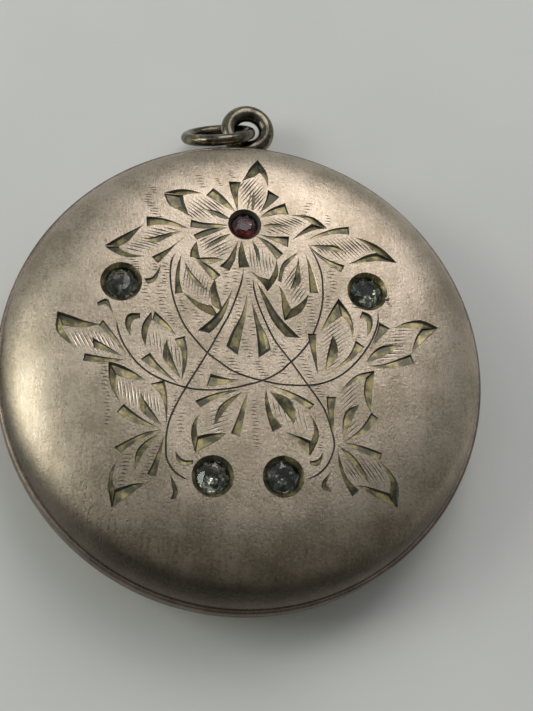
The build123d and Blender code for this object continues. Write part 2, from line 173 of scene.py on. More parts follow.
LEAF_CUTS = [
    # upper left leaf
    ((-4.05, 8.53), [(-5.0, 8.98), (-6.0, 9.26), (-6.88, 9.3)],
     [(-5.0, 8.66), (-6.0, 8.74), (-6.82, 8.55)]),
    ((-4.05, 8.33), [(-4.7, 7.62), (-5.5, 6.98), (-6.45, 6.42)],
     [(-4.85, 7.45), (-5.45, 6.65), (-6.02, 5.95)]),
    ((-4.5, 8.38), [(-5.6, 8.1), (-6.4, 7.82), (-7.1, 7.68)], [(-5.4, 7.85), (-6.2, 7.42), (-7.1, 7.68)]),
    ((-7.0, 8.73), [(-7.8, 8.22), (-8.7, 7.68), (-9.5, 7.1)], [(-7.5, 8.1), (-8.0, 7.4), (-8.55, 7.05)]),
    ((-6.85, 6.45), [(-7.7, 6.3), (-8.6, 6.47), (-9.5, 7.05)], [(-7.6, 6.52), (-8.2, 6.72), (-8.55, 7.05)]),
    # upper right leaf
    ((3.65, 8.3), [(4.5, 8.85), (5.5, 9.32), (6.5, 9.58)], [(4.6, 8.6), (5.5, 8.92), (6.53, 8.97)]),
    ((3.68, 8.05), [(4.3, 7.5), (5.2, 6.98), (6.2, 6.72)], [(4.25, 7.32), (5.0, 6.75), (5.95, 6.17)]),
    ((3.75, 7.97), [(4.7, 8.03), (5.6, 8.08), (6.3, 7.65)], [(4.6, 7.75), (5.4, 7.62), (6.3, 7.55)]),
    ((6.88, 8.82), [(7.8, 8.65), (8.8, 8.2), (9.78, 7.28)], [(7.4, 8.55), (7.85, 8.25), (8.35, 7.85)]),
    ((6.4, 6.82), [(7.05, 7.2), (7.65, 7.6), (8.35, 7.85)], [(7.4, 7.02), (8.5, 7.25), (9.78, 7.28)]),
    # inner left leaf
    ((-4.52, 6.75), [(-4.8, 5.8), (-4.87, 4.9), (-4.85, 3.95)],
     [(-4.58, 5.8), (-4.55, 4.9), (-4.28, 4.08)]),
    ((-3.85, 6.65), [(-3.1, 6.25), (-2.5, 5.9), (-1.93, 5.42)], [(-3.3, 6.05), (-2.85, 5.5), (-2.4, 5.02)]),
    ((-4.32, 6.25), [(-3.85, 5.5), (-3.35, 4.95), (-2.65, 4.2)],
     [(-4.05, 5.3), (-3.5, 4.65), (-2.65, 4.2)]),
    ((-4.35, 4.1), [(-3.7, 3.35), (-3.0, 2.85), (-1.95, 2.5)], [(-3.7, 3.68), (-3.1, 3.4), (-2.45, 3.3)]),
    ((-2.3, 5.12), [(-2.15, 4.4), (-1.95, 3.75), (-1.7, 2.9)], [(-2.55, 4.6), (-2.58, 4.0), (-2.42, 3.3)]),
    # inner right leaf
    ((3.15, 7.45), [(2.5, 6.95), (2.0, 6.4), (1.8, 5.3)], [(2.65, 6.75), (2.2, 6.1), (2.02, 5.15)]),
    ((3.58, 7.3), [(3.75, 6.4), (3.82, 5.5), (3.88, 4.6)], [(4.0, 6.4), (4.3, 5.5), (4.53, 4.62)]),
    ((3.12, 7.05), [(2.98, 6.2), (2.85, 5.5), (2.58, 4.72)], [(3.25, 6.2), (3.3, 5.2), (2.58, 4.72)]),
    ((1.85, 4.98), [(2.02, 4.3), (2.08, 3.5), (2.25, 2.58)], [(2.2, 4.5), (2.5, 3.95), (2.76, 3.45)]),
    ((3.82, 4.5), [(3.65, 3.8), (3.2, 3.1), (2.25, 2.58)], [(3.5, 4.1), (3.15, 3.75), (2.76, 3.45)]),
    # left outer leaf
    ((-7.75, -0.35), [(-8.25, 0.5), (-8.8, 1.25), (-9.35, 1.95)],
     [(-8.4, 0.35), (-9.0, 1.0), (-9.62, 1.55)]),
    ((-7.85, -0.67), [(-8.8, -0.58), (-9.6, -0.47), (-10.4, -0.33)],
     [(-8.7, -0.87), (-9.6, -0.92), (-10.48, -0.85)]),
    ((-7.95, -0.47), [(-8.7, 0.0), (-9.4, 0.42), (-9.97, 0.72)],
     [(-8.6, -0.3), (-9.3, -0.08), (-9.85, 0.02)]),
    ((-9.55, 1.63), [(-10.4, 1.82), (-11.3, 2.15), (-12.25, 2.48)],
     [(-10.3, 1.42), (-11.0, 1.38), (-11.9, 1.5)]),
    ((-10.85, -0.1), [(-11.7, 0.55), (-12.3, 1.3), (-12.25, 2.48)],
     [(-11.4, 0.6), (-11.7, 1.05), (-11.9, 1.5)]),
    # left inner leaf
    ((-4.45, -2.05), [(-5.2, -1.35), (-5.8, -0.75), (-6.28, -0.1)],
     [(-5.4, -1.5), (-6.2, -1.05), (-6.87, -0.57)]),
    ((-4.25, -1.9), [(-3.98, -0.9), (-3.92, 0.1), (-4.12, 1.12)],
     [(-4.22, -0.8), (-4.3, 0.1), (-4.78, 0.9)]),
    ((-4.25, -1.75), [(-4.65, -0.9), (-5.0, 0.0), (-5.28, 0.85)],
     [(-4.95, -1.1), (-5.5, -0.3), (-5.28, 0.85)]),
    ((-6.6, 0.3), [(-6.9, 1.1), (-6.8, 1.9), (-6.3, 2.65)], [(-6.52, 1.1), (-6.4, 1.7), (-6.25, 2.1)]),
    ((-4.65, 1.12), [(-5.2, 1.85), (-5.7, 2.35), (-6.1, 2.7)], [(-5.2, 1.5), (-5.7, 1.75), (-6.25, 2.08)]),
    # right outer leaf
    ((7.85, 0.95), [(8.1, 1.65), (8.35, 2.3), (8.48, 2.93)], [(8.3, 1.5), (8.75, 2.05), (9.22, 2.57)]),
    ((7.7, -0.13), [(8.8, 0.1), (9.7, 0.5), (10.6, 0.93)], [(8.8, -0.17), (9.9, 0.02), (10.87, 0.3)]),
    ((7.6, 0.1), [(8.15, 0.95), (8.9, 1.4), (10.0, 1.45)], [(8.4, 0.42), (9.2, 0.9), (10.0, 1.45)]),
    ((9.45, 2.6), [(10.3, 3.1), (11.4, 3.38), (12.55, 3.02)], [(10.1, 2.7), (10.7, 2.72), (11.35, 2.78)]),
    ((10.65, 0.95), [(10.8, 1.6), (11.0, 2.2), (11.35, 2.78)], [(11.2, 1.6), (11.85, 2.25), (12.55, 3.02)]),
    # right inner leaf
    ((4.48, -0.95), [(4.2, 0.0), (3.95, 0.95), (3.78, 1.82)], [(4.45, 0.0), (4.38, 0.95), (4.38, 1.82)]),
    ((5.0, -0.92), [(5.85, -0.2), (6.55, 0.6), (6.93, 1.57)], [(6.0, -0.3), (6.8, 0.35), (7.52, 1.15)]),
    ((4.97, -0.65), [(5.05, 0.3), (5.22, 1.1), (5.43, 1.87)], [(5.55, 0.05), (5.85, 0.85), (5.43, 1.87)]),
    ((4.6, 1.98), [(4.95, 2.75), (5.3, 3.5), (5.78, 4.37)], [(5.15, 2.45), (5.6, 2.85), (6.03, 3.15)]),
    ((6.73, 1.65), [(6.78, 2.5), (6.5, 3.4), (5.78, 4.37)], [(6.6, 2.3), (6.35, 2.8), (6.03, 3.15)]),
    # left lower leaf
    ((-5.1, -4.95), [(-5.05, -3.9), (-5.1, -2.9), (-5.3, -1.88)],
     [(-5.2, -3.8), (-5.5, -2.9), (-6.15, -2.15)]),
    ((-5.4, -5.05), [(-6.25, -4.65), (-7.1, -4.1), (-7.8, -3.55)],
     [(-6.3, -4.95), (-7.3, -4.65), (-8.22, -4.1)]),
    ((-5.35, -4.85), [(-5.9, -4.05), (-6.35, -3.45), (-6.8, -2.8)],
     [(-6.1, -4.45), (-6.75, -3.85), (-6.8, -2.8)]),
    ((-6.4, -2.03), [(-7.2, -1.45), (-8.0, -1.05), (-8.88, -0.8)],
     [(-7.1, -1.95), (-7.7, -1.88), (-8.35, -1.7)]),
    ((-8.0, -3.48), [(-8.55, -2.7), (-8.82, -1.8), (-8.88, -0.8)],
     [(-8.28, -2.9), (-8.4, -2.3), (-8.35, -1.7)]),
    # left bottom leaf
    ((-5.35, -5.12), [(-6.3, -5.3), (-7.3, -5.78), (-8.27, -6.35)],
     [(-6.3, -5.58), (-7.1, -6.1), (-7.83, -6.7)]),
    ((-5.2, -5.45), [(-5.5, -6.4), (-5.85, -7.3), (-6.17, -7.98)],
     [(-5.3, -6.3), (-5.4, -7.2), (-5.55, -8.12)]),
    ((-5.5, -5.35), [(-6.3, -5.85), (-6.9, -6.6), (-6.93, -7.8)],
     [(-6.0, -6.05), (-6.5, -6.8), (-6.93, -7.8)]),
    ((-8.0, -7.1), [(-8.4, -7.8), (-8.52, -8.8), (-8.22, -10.1)],
     [(-8.2, -7.8), (-8.25, -8.4), (-8.1, -8.95)]),
    ((-6.15, -8.53), [(-6.9, -8.58), (-7.5, -8.75), (-8.1, -8.95)],
     [(-6.8, -9.0), (-7.4, -9.5), (-8.22, -10.1)]),
    # bottom leaf left of the middle, and the loose cut above it
    ((-0.5, -2.2), [(-1.5, -2.38), (-2.5, -2.72), (-3.35, -3.12)],
     [(-1.5, -2.68), (-2.3, -3.08), (-2.97, -3.55)]),
    ((-0.02, -2.35), [(-0.38, -3.3), (-0.7, -4.25), (-1.02, -5.12)],
     [(-0.1, -3.3), (-0.22, -4.3), (-0.4, -5.3)]),
    ((-0.35, -2.35), [(-1.2, -2.85), (-1.85, -3.5), (-2.1, -4.55)],
     [(-0.9, -3.0), (-1.4, -3.65), (-2.0, -4.58)]),
    ((-2.98, -3.9), [(-3.4, -4.5), (-3.52, -5.4), (-3.22, -6.48)],
     [(-3.15, -4.4), (-3.17, -4.9), (-3.1, -5.42)]),
    ((-1.27, -5.13), [(-2.0, -5.15), (-2.6, -5.25), (-3.1, -5.42)],
     [(-1.85, -5.65), (-2.5, -6.05), (-3.22, -6.48)]),
    ((-0.55, -1.57), [(-1.2, -1.53), (-1.8, -1.42), (-2.4, -1.28)],
     [(-1.2, -1.82), (-1.9, -2.02), (-2.65, -2.12)]),
    # bottom leaf right of the middle
    ((1.4, -1.85), [(2.4, -2.05), (3.4, -2.42), (4.3, -2.9)], [(2.3, -2.3), (3.1, -2.75), (3.95, -3.3)]),
    ((1.15, -2.0), [(1.1, -2.95), (1.3, -3.95), (1.62, -4.87)], [(1.4, -2.95), (1.7, -3.8), (2.27, -4.48)]),
    ((1.4, -2.25), [(1.95, -2.95), (2.45, -3.6), (2.98, -4.25)], [(2.3, -2.45), (3.0, -3.0), (3.1, -3.9)]),
    ((3.93, -3.5), [(4.4, -4.15), (4.6, -5.1), (4.05, -6.3)], [(4.2, -4.1), (4.28, -4.7), (4.08, -5.3)]),
    ((2.38, -4.78), [(2.95, -4.95), (3.5, -5.1), (4.08, -5.3)], [(2.9, -5.2), (3.45, -5.7), (4.05, -6.3)]),
    # right lower leaf
    ((5.55, -5.0), [(5.3, -4.0), (5.1, -3.1), (5.05, -2.33)], [(5.58, -4.1), (5.62, -3.2), (5.73, -2.33)]),
    ((6.15, -5.25), [(6.95, -4.65), (7.55, -3.95), (7.97, -3.2)],
     [(7.1, -4.9), (7.85, -4.35), (8.45, -3.55)]),
    ((6.18, -5.05), [(6.1, -4.1), (6.35, -3.15), (7.18, -2.75)],
     [(6.55, -4.3), (6.85, -3.6), (7.18, -2.75)]),
    ((5.78, -2.3), [(6.3, -1.45), (7.1, -0.72), (8.17, -0.4)], [(6.4, -1.65), (7.0, -1.15), (7.6, -0.97)]),
    ((7.95, -3.25), [(7.6, -2.5), (7.47, -1.7), (7.6, -0.97)], [(8.05, -2.4), (8.15, -1.4), (8.17, -0.4)]),
    # right bottom leaf
    ((6.2, -5.27), [(7.1, -5.37), (7.9, -5.55), (8.73, -5.8)], [(7.0, -5.7), (7.75, -6.0), (8.57, -6.27)]),
    ((5.8, -5.7), [(5.92, -6.75), (6.25, -7.75), (6.82, -8.72)],
     [(6.15, -6.75), (6.55, -7.65), (7.27, -8.27)]),
    ((5.9, -5.55), [(6.7, -6.0), (7.4, -6.75), (7.95, -7.85)], [(6.5, -6.25), (7.2, -7.05), (7.95, -7.85)]),
    ((8.55, -6.35), [(9.3, -6.95), (9.85, -7.8), (9.85, -9.15)], [(9.05, -7.0), (9.3, -7.6), (9.25, -8.3)]),
    ((7.05, -7.98), [(7.8, -8.0), (8.5, -8.15), (9.25, -8.3)], [(7.8, -8.35), (8.7, -8.8), (9.85, -9.15)]),
]

DROP_CUTS = [
    ((-1.18, 4.45), [(-1.65, 3.5), (-2.25, 2.6), (-3.32, 1.55)],
     [(-1.5, 3.1), (-1.95, 2.1), (-2.55, 1.42)]),
    ((-0.18, 4.35), [(-0.5, 2.9), (-1.1, 1.65), (-1.47, 0.6)], [(-0.25, 2.8), (-0.5, 1.4), (-0.7, 0.05)]),
    ((0.08, 3.85), [(0.3, 2.6), (0.5, 1.4), (0.63, -0.05)], [(0.65, 2.4), (1.15, 1.45), (1.42, 0.55)]),
    ((0.42, 5.1), [(1.1, 4.1), (2.0, 2.75), (3.32, 1.47)], [(0.95, 3.7), (1.5, 2.45), (2.35, 1.5)]),
]

COMMA_CUTS = [
    ((-5.82, 5.9), [(-6.1, 5.35), (-6.4, 4.98), (-6.88, 4.88)], [(-5.95, 5.2), (-6.2, 4.7), (-6.6, 4.5)]),
    ((-8.72, 2.2), [(-8.88, 2.85), (-9.2, 3.4), (-9.78, 3.1)], [(-9.0, 2.75), (-9.3, 3.0), (-9.72, 2.82)]),
    ((-7.57, 0.92), [(-7.95, 1.65), (-7.8, 2.4), (-7.02, 2.5)], [(-7.58, 1.5), (-7.45, 2.0), (-7.0, 2.15)]),
    ((7.68, 1.85), [(8.05, 2.6), (7.95, 3.35), (7.35, 3.6)], [(7.7, 2.5), (7.6, 2.98), (7.18, 3.1)]),
    ((-4.47, -6.4), [(-4.2, -6.75), (-3.85, -6.98), (-3.3, -6.95)],
     [(-4.35, -7.0), (-3.9, -7.35), (-3.32, -7.2)]),
    ((-4.72, -7.95), [(-4.6, -8.6), (-4.5, -9.1), (-4.65, -9.45)],
     [(-4.35, -8.5), (-4.18, -9.0), (-4.35, -9.5)]),
    ((4.87, -6.0), [(4.62, -6.4), (4.35, -6.57), (4.02, -6.6)],
     [(4.78, -6.6), (4.45, -6.95), (4.1, -6.85)]),
    ((5.42, -7.25), [(4.95, -7.75), (4.82, -8.3), (5.4, -8.55)],
     [(5.22, -7.7), (5.18, -8.05), (5.47, -8.4)]),
]

STEMS = [
    [(-0.45, 6.0), (-0.6, 5.0), (-0.95, 3.8), (-1.35, 2.7), (-1.65, 2.1), (-2.65, 0.1), (-3.9, -2.2),
     (-4.4, -3.2), (-4.85, -4.3), (-5.05, -5.3), (-5.05, -6.3), (-4.95, -7.0), (-4.5, -7.7), (-4.0, -8.05),
     (-3.5, -8.25)],
    [(0.15, 5.35), (0.25, 4.6), (0.5, 3.7), (0.95, 2.6), (1.6, 1.3), (2.2, 0.5), (2.8, -0.25), (3.8, -1.6),
     (4.4, -2.4), (5.0, -3.35), (5.45, -4.7), (5.6, -5.5), (5.45, -6.2), (5.1, -6.9), (4.5, -7.5),
     (3.7, -7.85)],
    [(-4.9, 6.8), (-5.15, 6.2), (-5.2, 5.2), (-5.05, 4.1), (-4.75, 3.1), (-4.2, 1.9), (-3.5, 1.0),
     (-2.65, 0.1), (-1.8, -0.5), (-1.0, -1.0), (0.0, -1.35), (1.0, -1.55), (2.0, -1.7), (3.0, -1.72),
     (4.0, -1.65), (5.0, -1.4), (6.0, -0.85), (6.9, 0.0), (7.6, 0.95), (8.1, 1.9), (8.4, 2.9), (8.4, 3.8)],
    [(3.8, 7.9), (4.3, 7.0), (4.65, 6.0), (4.75, 5.0), (4.75, 4.2), (4.6, 3.2), (4.3, 2.2), (3.85, 1.2),
     (3.2, 0.3), (2.6, -0.3), (2.0, -0.9), (1.0, -1.5), (0.0, -1.85), (-1.0, -2.15), (-2.3, -2.35),
     (-3.5, -2.35), (-4.5, -2.15), (-5.3, -1.9), (-6.2, -1.5), (-7.0, -0.9), (-7.6, -0.2), (-8.1, 0.6),
     (-8.4, 1.4), (-8.5, 2.0)],
]

# Shading strokes inside each petal and leaf: outline, angle of the strokes in degrees, spacing
HATCHES = [
    ([(-0.85, 10.3), (-0.85, 12.1), (-0.2, 12.5), (0.5, 13.0), (0.95, 12.3), (1.0, 11.4), (0.5, 10.2)],
     55, 0.2),
    ([(-1.7, 10.1), (-3.1, 11.0), (-4.4, 10.95), (-4.2, 9.6), (-3.9, 9.25), (-1.8, 9.1)], -38, 0.21),
    ([(-1.7, 8.5), (-3.4, 7.7), (-3.3, 6.7), (-2.0, 6.6), (-1.1, 7.6)], 33, 0.21),
    ([(-0.35, 7.7), (0.0, 5.9), (1.2, 5.4), (1.55, 6.7), (0.5, 7.9)], 98, 0.2),
    ([(0.8, 9.6), (2.6, 9.9), (3.8, 9.5), (2.8, 8.5), (1.0, 8.6)], -22, 0.2),
    ([(-4.6, 8.5), (-6.8, 8.5), (-8.4, 7.1), (-7.0, 6.6), (-5.6, 7.1)], -12, 0.21),
    ([(4.2, 8.4), (6.4, 8.9), (8.2, 7.9), (6.5, 6.9), (4.5, 7.5)], -42, 0.2),
    ([(-4.3, 6.3), (-4.4, 4.2), (-2.6, 3.5), (-2.6, 5.0), (-3.7, 6.3)], 83, 0.2),
    ([(3.3, 7.1), (2.2, 5.6), (2.0, 4.8), (2.75, 3.6), (3.7, 4.6), (3.7, 6.6)], 57, 0.21),
    ([(-8.2, 0.1), (-9.6, 1.4), (-11.7, 1.4), (-10.7, -0.2), (-8.6, -0.45)], -60, 0.22),
    ([(-4.4, -1.4), (-6.3, 0.0), (-6.3, 2.0), (-4.9, 1.3), (-4.2, -0.6)], 98, 0.22),
    ([(8.0, 0.9), (9.3, 2.4), (11.1, 2.6), (10.5, 1.0), (8.6, 0.2)], 8, 0.21),
    ([(4.7, -0.6), (4.5, 1.8), (6.0, 3.0), (6.6, 1.8), (6.3, 0.6), (5.3, -0.5)], 40, 0.22),
    ([(-5.3, -4.6), (-5.6, -2.9), (-6.5, -2.15), (-8.2, -1.9), (-8.2, -2.9), (-7.6, -3.8), (-6.2, -4.5)],
     -81, 0.22),
    ([(-0.3, -2.7), (-2.9, -3.7), (-3.0, -5.2), (-1.3, -5.0), (-0.6, -4.0)], 22, 0.26),
    ([(1.6, -2.2), (3.7, -3.3), (4.1, -5.1), (2.5, -4.7), (1.6, -3.4)], -74, 0.27),
    ([(5.75, -4.8), (5.8, -2.5), (7.4, -1.1), (7.6, -2.6), (7.3, -4.1), (6.3, -5.0)], 45, 0.22),
    ([(6.1, -5.6), (8.4, -6.4), (9.2, -8.1), (7.4, -8.0), (6.5, -7.3)], -52, 0.22),
]

# Background strokes: stacks of short level dashes, from the first centre to the last, with their length
DASH_STACKS = [
    ((-6.4, 11.55), (-6.9, 10.4), 0.55), ((-6.7, 10.3), (-6.1, 9.3), 0.6), ((-7.7, 6.15), (-7.3, 5.5), 0.6),
    ((-6.3, 5.9), (-6.1, 5.3), 0.45), ((-5.55, 6.0), (-5.5, 4.7), 0.45), ((-6.75, 4.6), (-6.6, 3.4), 0.5),
    ((-5.8, 4.6), (-5.6, 2.9), 0.5), ((-5.3, 2.6), (-4.8, 1.9), 0.5), ((-4.5, 3.5), (-4.2, 2.8), 0.5),
    ((-3.6, 2.9), (-3.2, 2.1), 0.55), ((-1.7, 6.0), (-1.5, 5.3), 0.5), ((-0.95, 5.9), (-0.95, 5.0), 0.45),
    ((-1.5, 4.9), (-1.6, 4.1), 0.4), ((-0.75, 4.2), (-0.85, 2.0), 0.4), ((-0.2, 5.3), (0.05, 4.3), 0.35),
    ((0.75, 4.4), (0.8, 3.7), 0.3), ((0.1, 2.7), (0.25, 1.5), 0.4), ((-2.1, 1.1), (-2.2, -0.1), 0.45),
    ((-0.35, 1.1), (0.1, 0.0), 0.55), ((1.6, 1.2), (1.7, 0.2), 0.4), ((2.2, 0.9), (2.3, -1.0), 0.55),
    ((-3.0, -0.3), (-3.1, -1.4), 0.45), ((-1.1, -0.2), (-0.8, -1.25), 0.8), ((0.5, -0.3), (1.1, -1.2), 0.6),
    ((3.3, 0.9), (3.5, 0.0), 0.45), ((3.6, -0.3), (4.1, -1.4), 0.7), ((4.4, -1.7), (4.7, -2.4), 0.6),
    ((3.9, 4.3), (4.1, 2.3), 0.55), ((3.2, 2.2), (3.3, 1.7), 0.4), ((5.3, 6.9), (5.4, 4.8), 0.6),
    ((5.2, 4.4), (5.1, 3.4), 0.35), ((6.8, 4.9), (6.9, 3.8), 0.55), ((7.2, 1.9), (7.0, 1.6), 0.3),
    ((3.8, 11.0), (3.6, 9.9), 0.55), ((5.1, 10.2), (5.0, 9.6), 0.4), ((-3.5, 12.6), (-3.3, 11.7), 0.5),
    ((-1.5, 13.1), (-1.3, 12.6), 0.4), ((-2.2, 12.4), (-2.1, 11.9), 0.35),
    ((-9.2, -1.0), (-9.1, -2.3), 0.5), ((-8.95, -2.4), (-8.75, -4.9), 0.35),
    ((-4.75, -3.6), (-4.6, -4.1), 0.4), ((-4.2, -4.0), (-4.1, -5.2), 0.45),
    ((-4.6, -2.7), (-4.5, -3.2), 0.3), ((0.4, -2.9), (0.7, -5.9), 0.45), ((-3.6, -1.3), (-3.5, -1.9), 0.3),
    ((4.75, -5.4), (4.7, -5.9), 0.3), ((-4.6, 0.6), (-4.6, 0.2), 0.2), ((9.1, 4.3), (9.2, 4.1), 0.3),
    ((-7.45, -6.8), (-7.7, -8.7), 0.6), ((-5.55, -6.0), (-6.4, -8.2), 0.5),
]

BODY_PIT = (10.55, -1.3)      # one old ding near the right edge
PIT_RADIUS, PIT_DEPTH, PIT_STATIONS = 0.14, 0.08, 12

CUT_STATIONS = 8
CUT_SLOPE = 0.2               # depth per width of a broad cut
CUT_DEEPEST = 0.17
SATIN, CUT, BAND, SHADE_AND_GRIME, POLISH_AND_HIGHLIGHT = range(5)      # the engraved cover's materials
# Strips of a cut from its steep edge: share of the way across, share of its depth, finish
# The dark strips are painted shade on the cuts' steep walls and far edges, with some dirt; the light
# far-edge strips are polished metal with a painted highlight.
PETAL_FLOOR = [(0.2, 1.0, SHADE_AND_GRIME), (0.89, 0.45, CUT), (1, 0, SHADE_AND_GRIME)]
LEAF_FLOOR = [(0.2, 1.0, SHADE_AND_GRIME), (0.92, 0.4, CUT), (1, 0, POLISH_AND_HIGHLIGHT)]
DROP_FLOOR = [(0.26, 0.9, SHADE_AND_GRIME), (0.7, 1.0, CUT), (0.92, 0.3, CUT), (1, 0, SHADE_AND_GRIME)]
COMMA_FLOOR = [(0.3, 1.0, SHADE_AND_GRIME), (0.85, 0.7, CUT), (1, 0, POLISH_AND_HIGHLIGHT)]
GROOVE_FLOOR = [(0.5, 1.0, SHADE_AND_GRIME), (1, 0, SHADE_AND_GRIME)]
END_WALL = 0.08
DROP_END_WALL = 0.25
COMMA_SLOPE = 0.28
STEM_WIDTH, STEM_SLOPE = 0.12, 0.5
STEM_STEPS = 4                # places for each listed point of a stem
# Cuts, strips, depth per width, and the width from which a blunt end gets a wall
CUT_FAMILIES = [
    (PETAL_CUTS, PETAL_FLOOR, CUT_SLOPE, END_WALL),
    (LEAF_CUTS, LEAF_FLOOR, CUT_SLOPE, END_WALL),
    (DROP_CUTS, DROP_FLOOR, CUT_SLOPE, DROP_END_WALL),
    (COMMA_CUTS, COMMA_FLOOR, COMMA_SLOPE, END_WALL),
]
HATCH_WIDTH, DASH_WIDTH, STROKE_SLOPE = 0.13, 0.12, 0.22
# Strokes' steep walls lie on their upper-left side, facing away from the lamps, and are painted as shade
STROKE_STEEP_SIDE = np.array([-0.5, 0.87])
STROKE_DEEPEST = 0.06         # how far a stroke's deepest line lies towards its steep side, in widths
HATCH_REACH = 1.1             # how far hatching spreads beyond its listed outline
HATCH_START, HATCH_END = (0.0, 0.1), (0.85, 1.0)      # where strokes run, in shares of the way across
HATCH_SHORTEST = 0.15
HATCH_UNEVEN = (0.8, 1.2)
DASH_SPACING = 0.25
DASH_SHIFT, DASH_HALF, DASH_TILT = (-0.12, 0.12), (0.45, 0.7), (-0.03, 0.03)
STROKE_SEED = 7
ENGRAVED_RADIUS = 15.0
RIM_STATIONS = 240
RECESS_TURN = HINGE_HALF_LENGTH / CASE_RADIUS      # half of the hinge recess, in radians
RIM_TURNS = np.array(sorted(
    [i / RIM_STATIONS * 2 * pi for i in range(RIM_STATIONS)]
    + [pi + side * RECESS_TURN * share for side in (-1, 1) for share in (0.998, 1.002)]
))
SEAT_STATIONS = 48
GRID_SPACING = 0.8
SHOULDER_RINGS, SHOULDER_STATIONS = (14.7, 14.4, 14.0, 13.6), 120
SHEET_RADIUS = 14.0           # where the inside of the dome turns into its shoulder
SHEET_RINGS = 12

# ---- colours, wear, painted shade and painted highlights ------------------------------
SATIN_LIGHT, SATIN_DARK = (0.48, 0.405, 0.315, 1), (0.31, 0.26, 0.19, 1)
# Painted shade: the bead band is coloured dark
BAND_LIGHT, BAND_DARK = (0.26, 0.21, 0.175, 1), (0.15, 0.12, 0.10, 1)
CUT_LIGHT, CUT_DARK = (0.30, 0.255, 0.118, 1), (0.07, 0.065, 0.04, 1)
# Painted shade with some dirt, for the cuts' steep walls, the stems, the strokes' steep sides and the gaps
# round the stones
SHADE_AND_GRIME_LIGHT, SHADE_AND_GRIME_DARK = (0.08, 0.07, 0.05, 1), (0.03, 0.027, 0.02, 1)
# Polished cut edges, lighter than the satin: a painted highlight on the sides that face the lamps
POLISH_AND_HIGHLIGHT_LIGHT, POLISH_AND_HIGHLIGHT_DARK = (0.56, 0.48, 0.40, 1), (0.37, 0.31, 0.24, 1)
BAIL_LIGHT, BAIL_DARK = (0.17, 0.15, 0.11, 1), (0.06, 0.056, 0.045, 1)
WORN_GOLD = (0.44, 0.36, 0.19, 1)
GILT_LIGHT, GILT_DARK = (0.80, 0.64, 0.36, 1), (0.55, 0.42, 0.22, 1)
RIM_LIGHT, RIM_DARK = (0.66, 0.57, 0.42, 1), (0.42, 0.35, 0.25, 1)
LINING_LIGHT, LINING_DARK = (0.5, 0.43, 0.29, 1), (0.3, 0.26, 0.18, 1)
CARD_LIGHT, CARD_DARK, CARD_FIBRE = (0.90, 0.85, 0.73, 1), (0.80, 0.72, 0.56, 1), (0.62, 0.54, 0.4, 1)
WINDOW_TINT = (0.97, 0.96, 0.92, 1)
CLEAR_GLASS, RED_GLASS = (0.95, 0.96, 0.90, 1), (0.52, 0.09, 0.12, 1)
RUBBED_GLASS = 0.8                # brightness of the stones' rubbed patches, as a share
FOIL_LIGHT, FOIL_DARK = (0.82, 0.82, 0.76, 1), (0.14, 0.145, 0.125, 1)
RED_FOIL_LIGHT, RED_FOIL_DARK = (0.75, 0.50, 0.50, 1), (0.25, 0.12, 0.12, 1)
FLOOR_LIGHT, FLOOR_DARK = (0.66, 0.67, 0.645, 1), (0.635, 0.645, 0.62, 1)
SPECK = (0.10, 0.085, 0.065, 1)
# Painted shade with a tarnished tone: the covers darken towards the lower rim
SHADE_AND_TARNISH = (0.11, 0.08, 0.035, 1)
SHADE_AND_TARNISH_RAGGED = 6.0
SHADE_AND_TARNISH_SPAN = (-13.0, -5.0)      # heights on the cover where the painted shade with its tarnished tone is full and gone
# Painted shade: a dark ring on the front dome's shoulder by the bead ring
SHOULDER_SHADE = (0.06, 0.055, 0.05, 1)
SHOULDER_SHADE_LEAN = (-0.02, -0.11)       # the painted shade by the bead ring is darkest towards the bottom
SHOULDER_SHADE_SPAN = (15.4, 16.5)         # radius plus lean where it begins and is full

# ---- camera, room and lights ----------------------------------------------------------
CAMERA_PLACE = (-0.012876, -0.034628, 0.114665)
CAMERA_TURN = (17.697, -7.815, 1.1309)         # degrees about X, Y and Z
CAMERA_LENS = 90.0
CAMERA_SENSOR = 36.0
AIM = Vector((0, 0, 6.5)) * MM
FLOOR_REACH = 1.2
ROOM_TURN = (-0.6, 0.7)           # directions' Y where the room is darkest and brightest
ROOM_NEAR, ROOM_FAR = (0.13, 0.13, 0.12, 1), (0.47, 0.495, 0.51, 1)
# Name, azimuth, elevation, distance, size, power, colour
LIGHTS = [
    ("high_window", 17, 42, 0.5, (0.34, 0.28), 0.84, (1.0, 0.94, 0.95)),
    ("low_left_window", -90, 9, 0.5, (0.24, 0.10), 0.22, (0.97, 1.0, 0.84)),
    ("left_window", -84, 33, 0.5, (0.24, 0.20), 0.76, (0.98, 1.0, 0.94)),
    ("left_sky", -70, 54, 0.6, (0.20, 0.16), 0.10, (0.97, 1.0, 0.92)),
    ("upper_window", 8, 66, 0.6, (0.20, 0.16), 0.19, (1.0, 0.97, 0.96)),
    ("lower_left_card", -118, 8, 0.5, (0.20, 0.08), 0.06, (1.0, 0.98, 0.92)),
]


# ---- the cover's surface --------------------------------------------------------------
def dome_height(r):
    """Height of the front dome at a distance from its axis."""
    return SEAM_Z + BEAD_HEIGHT + FRONT_RISE * np.sqrt(1 - (r / DOME_RADIUS) ** FRONT_POWER)


def dome_normal(x, y):
    """Outward unit normal of the front dome at each (x, y)."""
    r = np.maximum(np.hypot(x, y), 1e-6)
    share = (r / DOME_RADIUS) ** FRONT_POWER
    slope = -FRONT_RISE * FRONT_POWER * share / (2 * r * np.sqrt(1 - share))
    normal = np.stack([-slope * x / r, -slope * y / r, np.ones_like(r)], axis=-1)
    return normal / np.linalg.norm(normal, axis=-1, keepdims=True)


